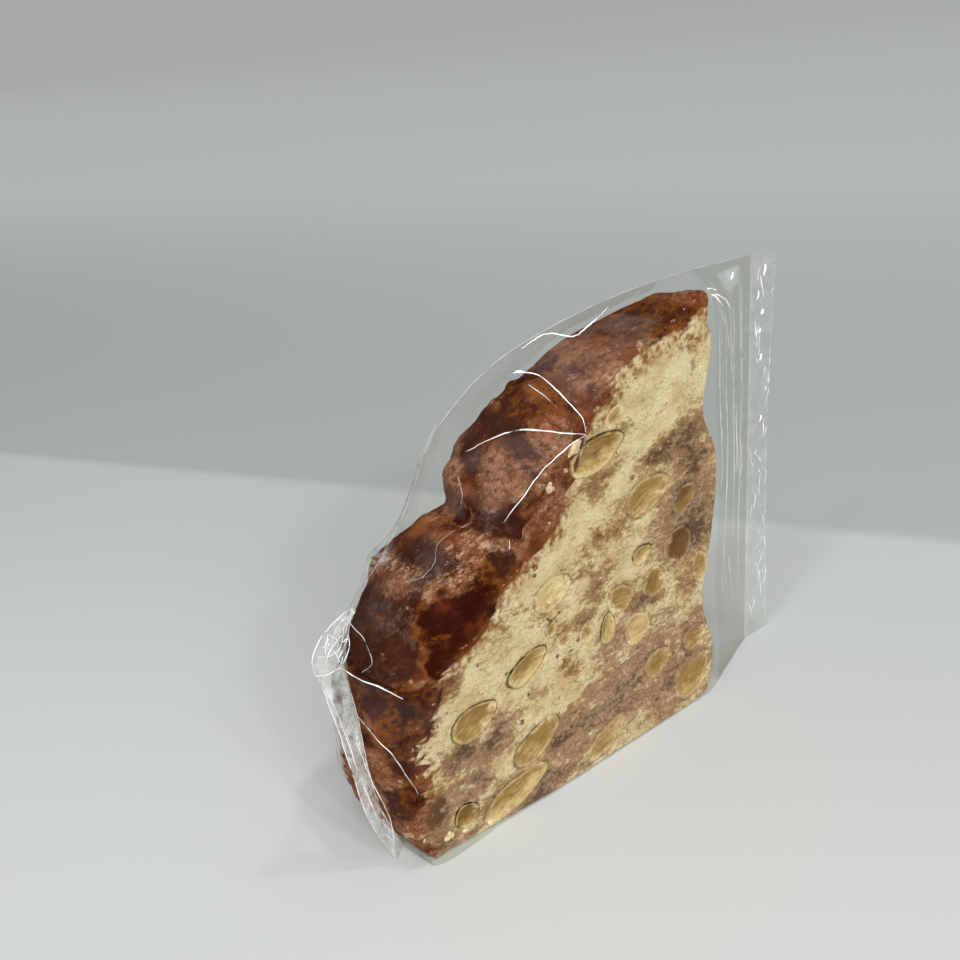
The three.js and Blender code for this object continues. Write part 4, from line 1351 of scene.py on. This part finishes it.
# Loose crumbs on the slice's front and on the crust: x, z, radius and how dark from 0 to 1.
CRUMBS = [
    (35.6, 74.6, 1.9, 0.3), (33.8, 70.6, 0.6, 0.5), (24.4, 53.2, 0.6, 1), (51, 63, 0.5, 1),
    (17.5, 20.7, 0.5, 1), (29.5, 68.4, 1.1, 0.4), (8, 57, 0.6, 0.8), (-2.5, 4, 1.1, 0.3), (1, 3, 0.9, 0.25),
    (7, 1.3, 0.8, 0.2), (64, 92, 0.7, 0.8),
]
CRUMB_ROWS = 9
CRUMB_SPOKES = 12
INK_GAP = 0.08  # how far the ink stands off the film


def strewn_crumbs(count, seed):
    """More crumbs of both tones by a seeded draw, along the edge between crust and crumb."""
    rng = np.random.default_rng(seed)
    edge = curve(CRUST_EDGE, 200)[rng.integers(8, 196, count)] + rng.normal(0, 2.2, (count, 2))
    return [(x, max(z, 1), rng.uniform(0.15, 0.4), rng.uniform(0.4, 1)) for x, z in edge]


def front_of(cloud, x, z):
    """Depth of the foremost of the slice's points near the place (x, z), or None where it has none."""
    near = cloud[np.hypot(cloud[:, 0] - x, cloud[:, 2] - z) < 0.7, 1]
    return near.min() if near.size and near.min() < 9 else None


def build_crumbs(cloud):
    """Small lumpy crumbs, each half sunk in what it lies on."""
    built = Parts()
    around = np.linspace(0, 2 * np.pi, CRUMB_SPOKES, endpoint=False)[None]
    down = np.linspace(0.08, np.pi - 0.08, CRUMB_ROWS)[:, None]
    ball = xyz(np.sin(down) * np.cos(around), np.cos(down), np.sin(down) * np.sin(around))
    ring = np.arange(CRUMB_SPOKES)
    ends = ring[::-1], ring + (CRUMB_ROWS - 1) * CRUMB_SPOKES
    faces = [*grid_faces(CRUMB_ROWS, CRUMB_SPOKES, close_columns=True), *ends]
    for number, (x, z, radius, tone) in enumerate([*CRUMBS, *strewn_crumbs(60, 12)]):
        y = front_of(cloud, x, z)
        if y is not None:
            lumpy = 1 + 0.5 * noise(ball, 0.8, number) + 0.25 * noise(ball, 0.35, number + 7)
            shape = np.array([1, 0.3, 0.75 + 0.4 * math.sin(3 * number)])
            lump = ball * lumpy[..., None] * radius * shape + (x, y + 0.1 * radius, z)
            lump = raised(lump, 0.1)
            built.add(lump, faces, {"dark": np.full(ball.shape[:2], tone)})
    return built.whole()


def print_bars():
    """Plain bars in two blocks, which stand for the pack's print: left x, right x, middle z and height."""
    rng = np.random.default_rng(17)
    bars = [(38, 60, 76, 3), (38, 54, 71.5, 3)]
    for z in np.arange(67, 50, -2.4):
        left = 36.0
        while left < 66:
            right = min(left + rng.uniform(6, 15), 68)
            bars.append((left, right - 1.4, z, 1.1))
            left = right
    box = [(14, 30, 22.5, 0.8), (14, 30, 10.5, 0.8), (14, 14.8, 16.5, 12), (29.2, 30, 16.5, 12)]
    return [*bars, *box, (17, 27, 16.5, 5), (38, 62, 20.5, 1.2), (38, 56, 17, 1.2), (38, 60, 13.5, 1.2)]


def build_print(back_sheet):
    """Ink on the outside of the back sheet: one strip for each bar."""
    built = Parts()
    for left, right, middle, height in print_bars():
        columns = max(3, int((right - left) / 0.8))
        rows = max(2, int(height / 0.9))
        z = middle + np.linspace(-height / 2, height / 2, rows)[:, None]
        strip = lay_on_film(xyz(np.linspace(left, right, columns), 0, z).reshape(-1, 3), back_sheet)
        built.add(strip + (0, INK_GAP, 0), grid_faces(rows, columns)[:, ::-1], {})
    return built.whole()


# ---- stage ----

CAMERA_PLACE = (-78.2, -131.3, 150.8)
CAMERA_HEADING = math.atan2(-0.5733, 0.8192)
CAMERA_PITCH = math.radians(25)
CAMERA_ROLL = math.radians(6.1)
FOCAL_PIXELS = 1006
PICTURE_PIXELS = 960
SENSOR_WIDTH = 36
WALL_NORMAL = np.array([0.863, 0.506, 0])
WALL_DISTANCE = 146
FLOOR_HALF = 6  # in metres
FLOOR_COLOUR = (0.585, 0.603, 0.59, 1)
WALL_COLOUR = (0.397, 0.413, 0.407, 1)
FAR_WALL_COLOUR = (0.6, 0.612, 0.61, 1)
HORIZON_COLOUR = (0.528, 0.537, 0.536, 1)  # as bright in this light as the world behind it
WORLD_COLOUR = (0.39, 0.398, 0.402, 1)
# Small bright lamps, which the film's folds mirror: name, place in metres and size.
LAMPS = [
    ("lamp", (-0.3, -0.1, 0.5), 0.05),
    ("second_lamp", (-0.05, -0.5, 0.4), 0.03),
    ("third_lamp", (0.1, -0.15, 0.6), 0.03),
]
LAMP_TARGET = Vector((0, 0, 0.05))
LAMP_POWER = 0.6
# A sun as wide as a window, for the soft light.
SKY_DIRECTION = Vector((0.4, 0.75, -0.5))
SKY_POWER = 2.12
SKY_WIDTH = math.radians(60)


def add_camera():
    data = bpy.data.cameras.new("camera")
    data.sensor_width = SENSOR_WIDTH
    data.lens = FOCAL_PIXELS * SENSOR_WIDTH / PICTURE_PIXELS
    camera = add_object("camera", data)
    level = Euler((math.pi / 2 - CAMERA_PITCH, 0, CAMERA_HEADING)).to_matrix().to_4x4()
    turn = level @ Matrix.Rotation(-CAMERA_ROLL, 4, "Z")
    camera.matrix_world = Matrix.Translation(put(CAMERA_PLACE)[0]) @ turn
    bpy.context.scene.camera = camera


def floor_material():
    """A pale floor with painted shade towards the wall line; grey behind the slice, as where a plain wall
    begins, and painted lighter far off.
    """
    mat = Material("floor")
    inputs = {0: mat.place, 1: tuple(WALL_NORMAL)}
    distance = mat.add("ShaderNodeVectorMath", inputs, "Value", operation="DOT_PRODUCT")
    past_line = distance - (WALL_DISTANCE + float(WALL_NORMAL @ SHIFT))
    # Painted shade: the floor darkens as it nears the wall line.
    shade = mat.mix(past_line.step(-190, -30) * 0.42, FLOOR_COLOUR, WALL_COLOUR)
    # Painted light: the wall grows lighter far off.
    wall = mat.mix(past_line.step(60, 700), WALL_COLOUR, FAR_WALL_COLOUR)
    shade = shade.under(past_line.step(-3, 5), wall.under(past_line.step(900, 4500), HORIZON_COLOUR))
    shade = shade.under(0.02, mat.mix(mat.noise(3, 2), (0.9, 0.9, 0.9, 1), WHITE))
    return mat.finish(mat.surface(shade, 0.55))


def add_floor():
    mesh = bpy.data.meshes.new("floor")
    near, far = -FLOOR_HALF, FLOOR_HALF
    mesh.from_pydata([(near, near, 0), (far, near, 0), (far, far, 0), (near, far, 0)], [], [(0, 1, 2, 3)])
    mesh.materials.append(floor_material())
    add_object("floor", mesh)


def add_light(name, kind, power, direction):
    """A light that shines in a direction, and its data, for what else is set on it."""
    data = bpy.data.lights.new(name, kind)
    data.energy = power
    light = add_object(name, data)
    light.rotation_euler = direction.to_track_quat("-Z", "Y").to_euler()
    return light, data


def add_studio():
    world = bpy.data.worlds.new("studio")
    world.use_nodes = True
    background = world.node_tree.nodes["Background"]
    background.inputs["Color"].default_value = WORLD_COLOUR
    background.inputs["Strength"].default_value = 1.0
    bpy.context.scene.world = world
    _, sun = add_light("sky", "SUN", SKY_POWER, SKY_DIRECTION)
    sun.angle = SKY_WIDTH
    for name, place, size in LAMPS:
        light, lamp = add_light(name, "AREA", LAMP_POWER, LAMP_TARGET - Vector(place))
        lamp.shape, lamp.size = "SQUARE", size
        light.location = place
    bpy.context.scene.view_settings.view_transform = "Standard"
    add_floor()
    add_camera()


# ---- build ----

nougat, crust, almonds = build_body(), build_crust(), build_almonds()
slice_cloud = np.concatenate([nougat[0], crust[0], almonds[0]])
crumbs = build_crumbs(slice_cloud)
film, front_sheet, back_sheet = build_film(np.concatenate([slice_cloud, crumbs[0]]))
corner = build_corner()
# The crease lines are painted highlights: bright tubes along the film's folds and edges.
creases = build_painted_highlights(front_sheet, corner[0])
clear_film = film_material()

for name, built, material, slot in (
    ("nougat_crumb", nougat, slice_material("nougat"), "nougat"),
    ("cocoa_crust", crust, slice_material("cocoa_crust"), "cocoa_crust"),
    ("almonds", almonds, almond_material(), "almond"),
    ("crumbs", crumbs, crumb_material(), "nougat"),
    ("film", film, clear_film, "clear_film"),
):
    piece = make_piece(name, built, material)
    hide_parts("sealed_pack")
make_piece("film_corner", corner, clear_film)
make_piece("painted_highlights", creases, painted_highlight_material())
make_piece("printed_bars", build_print(back_sheet), print_material())

add_studio()
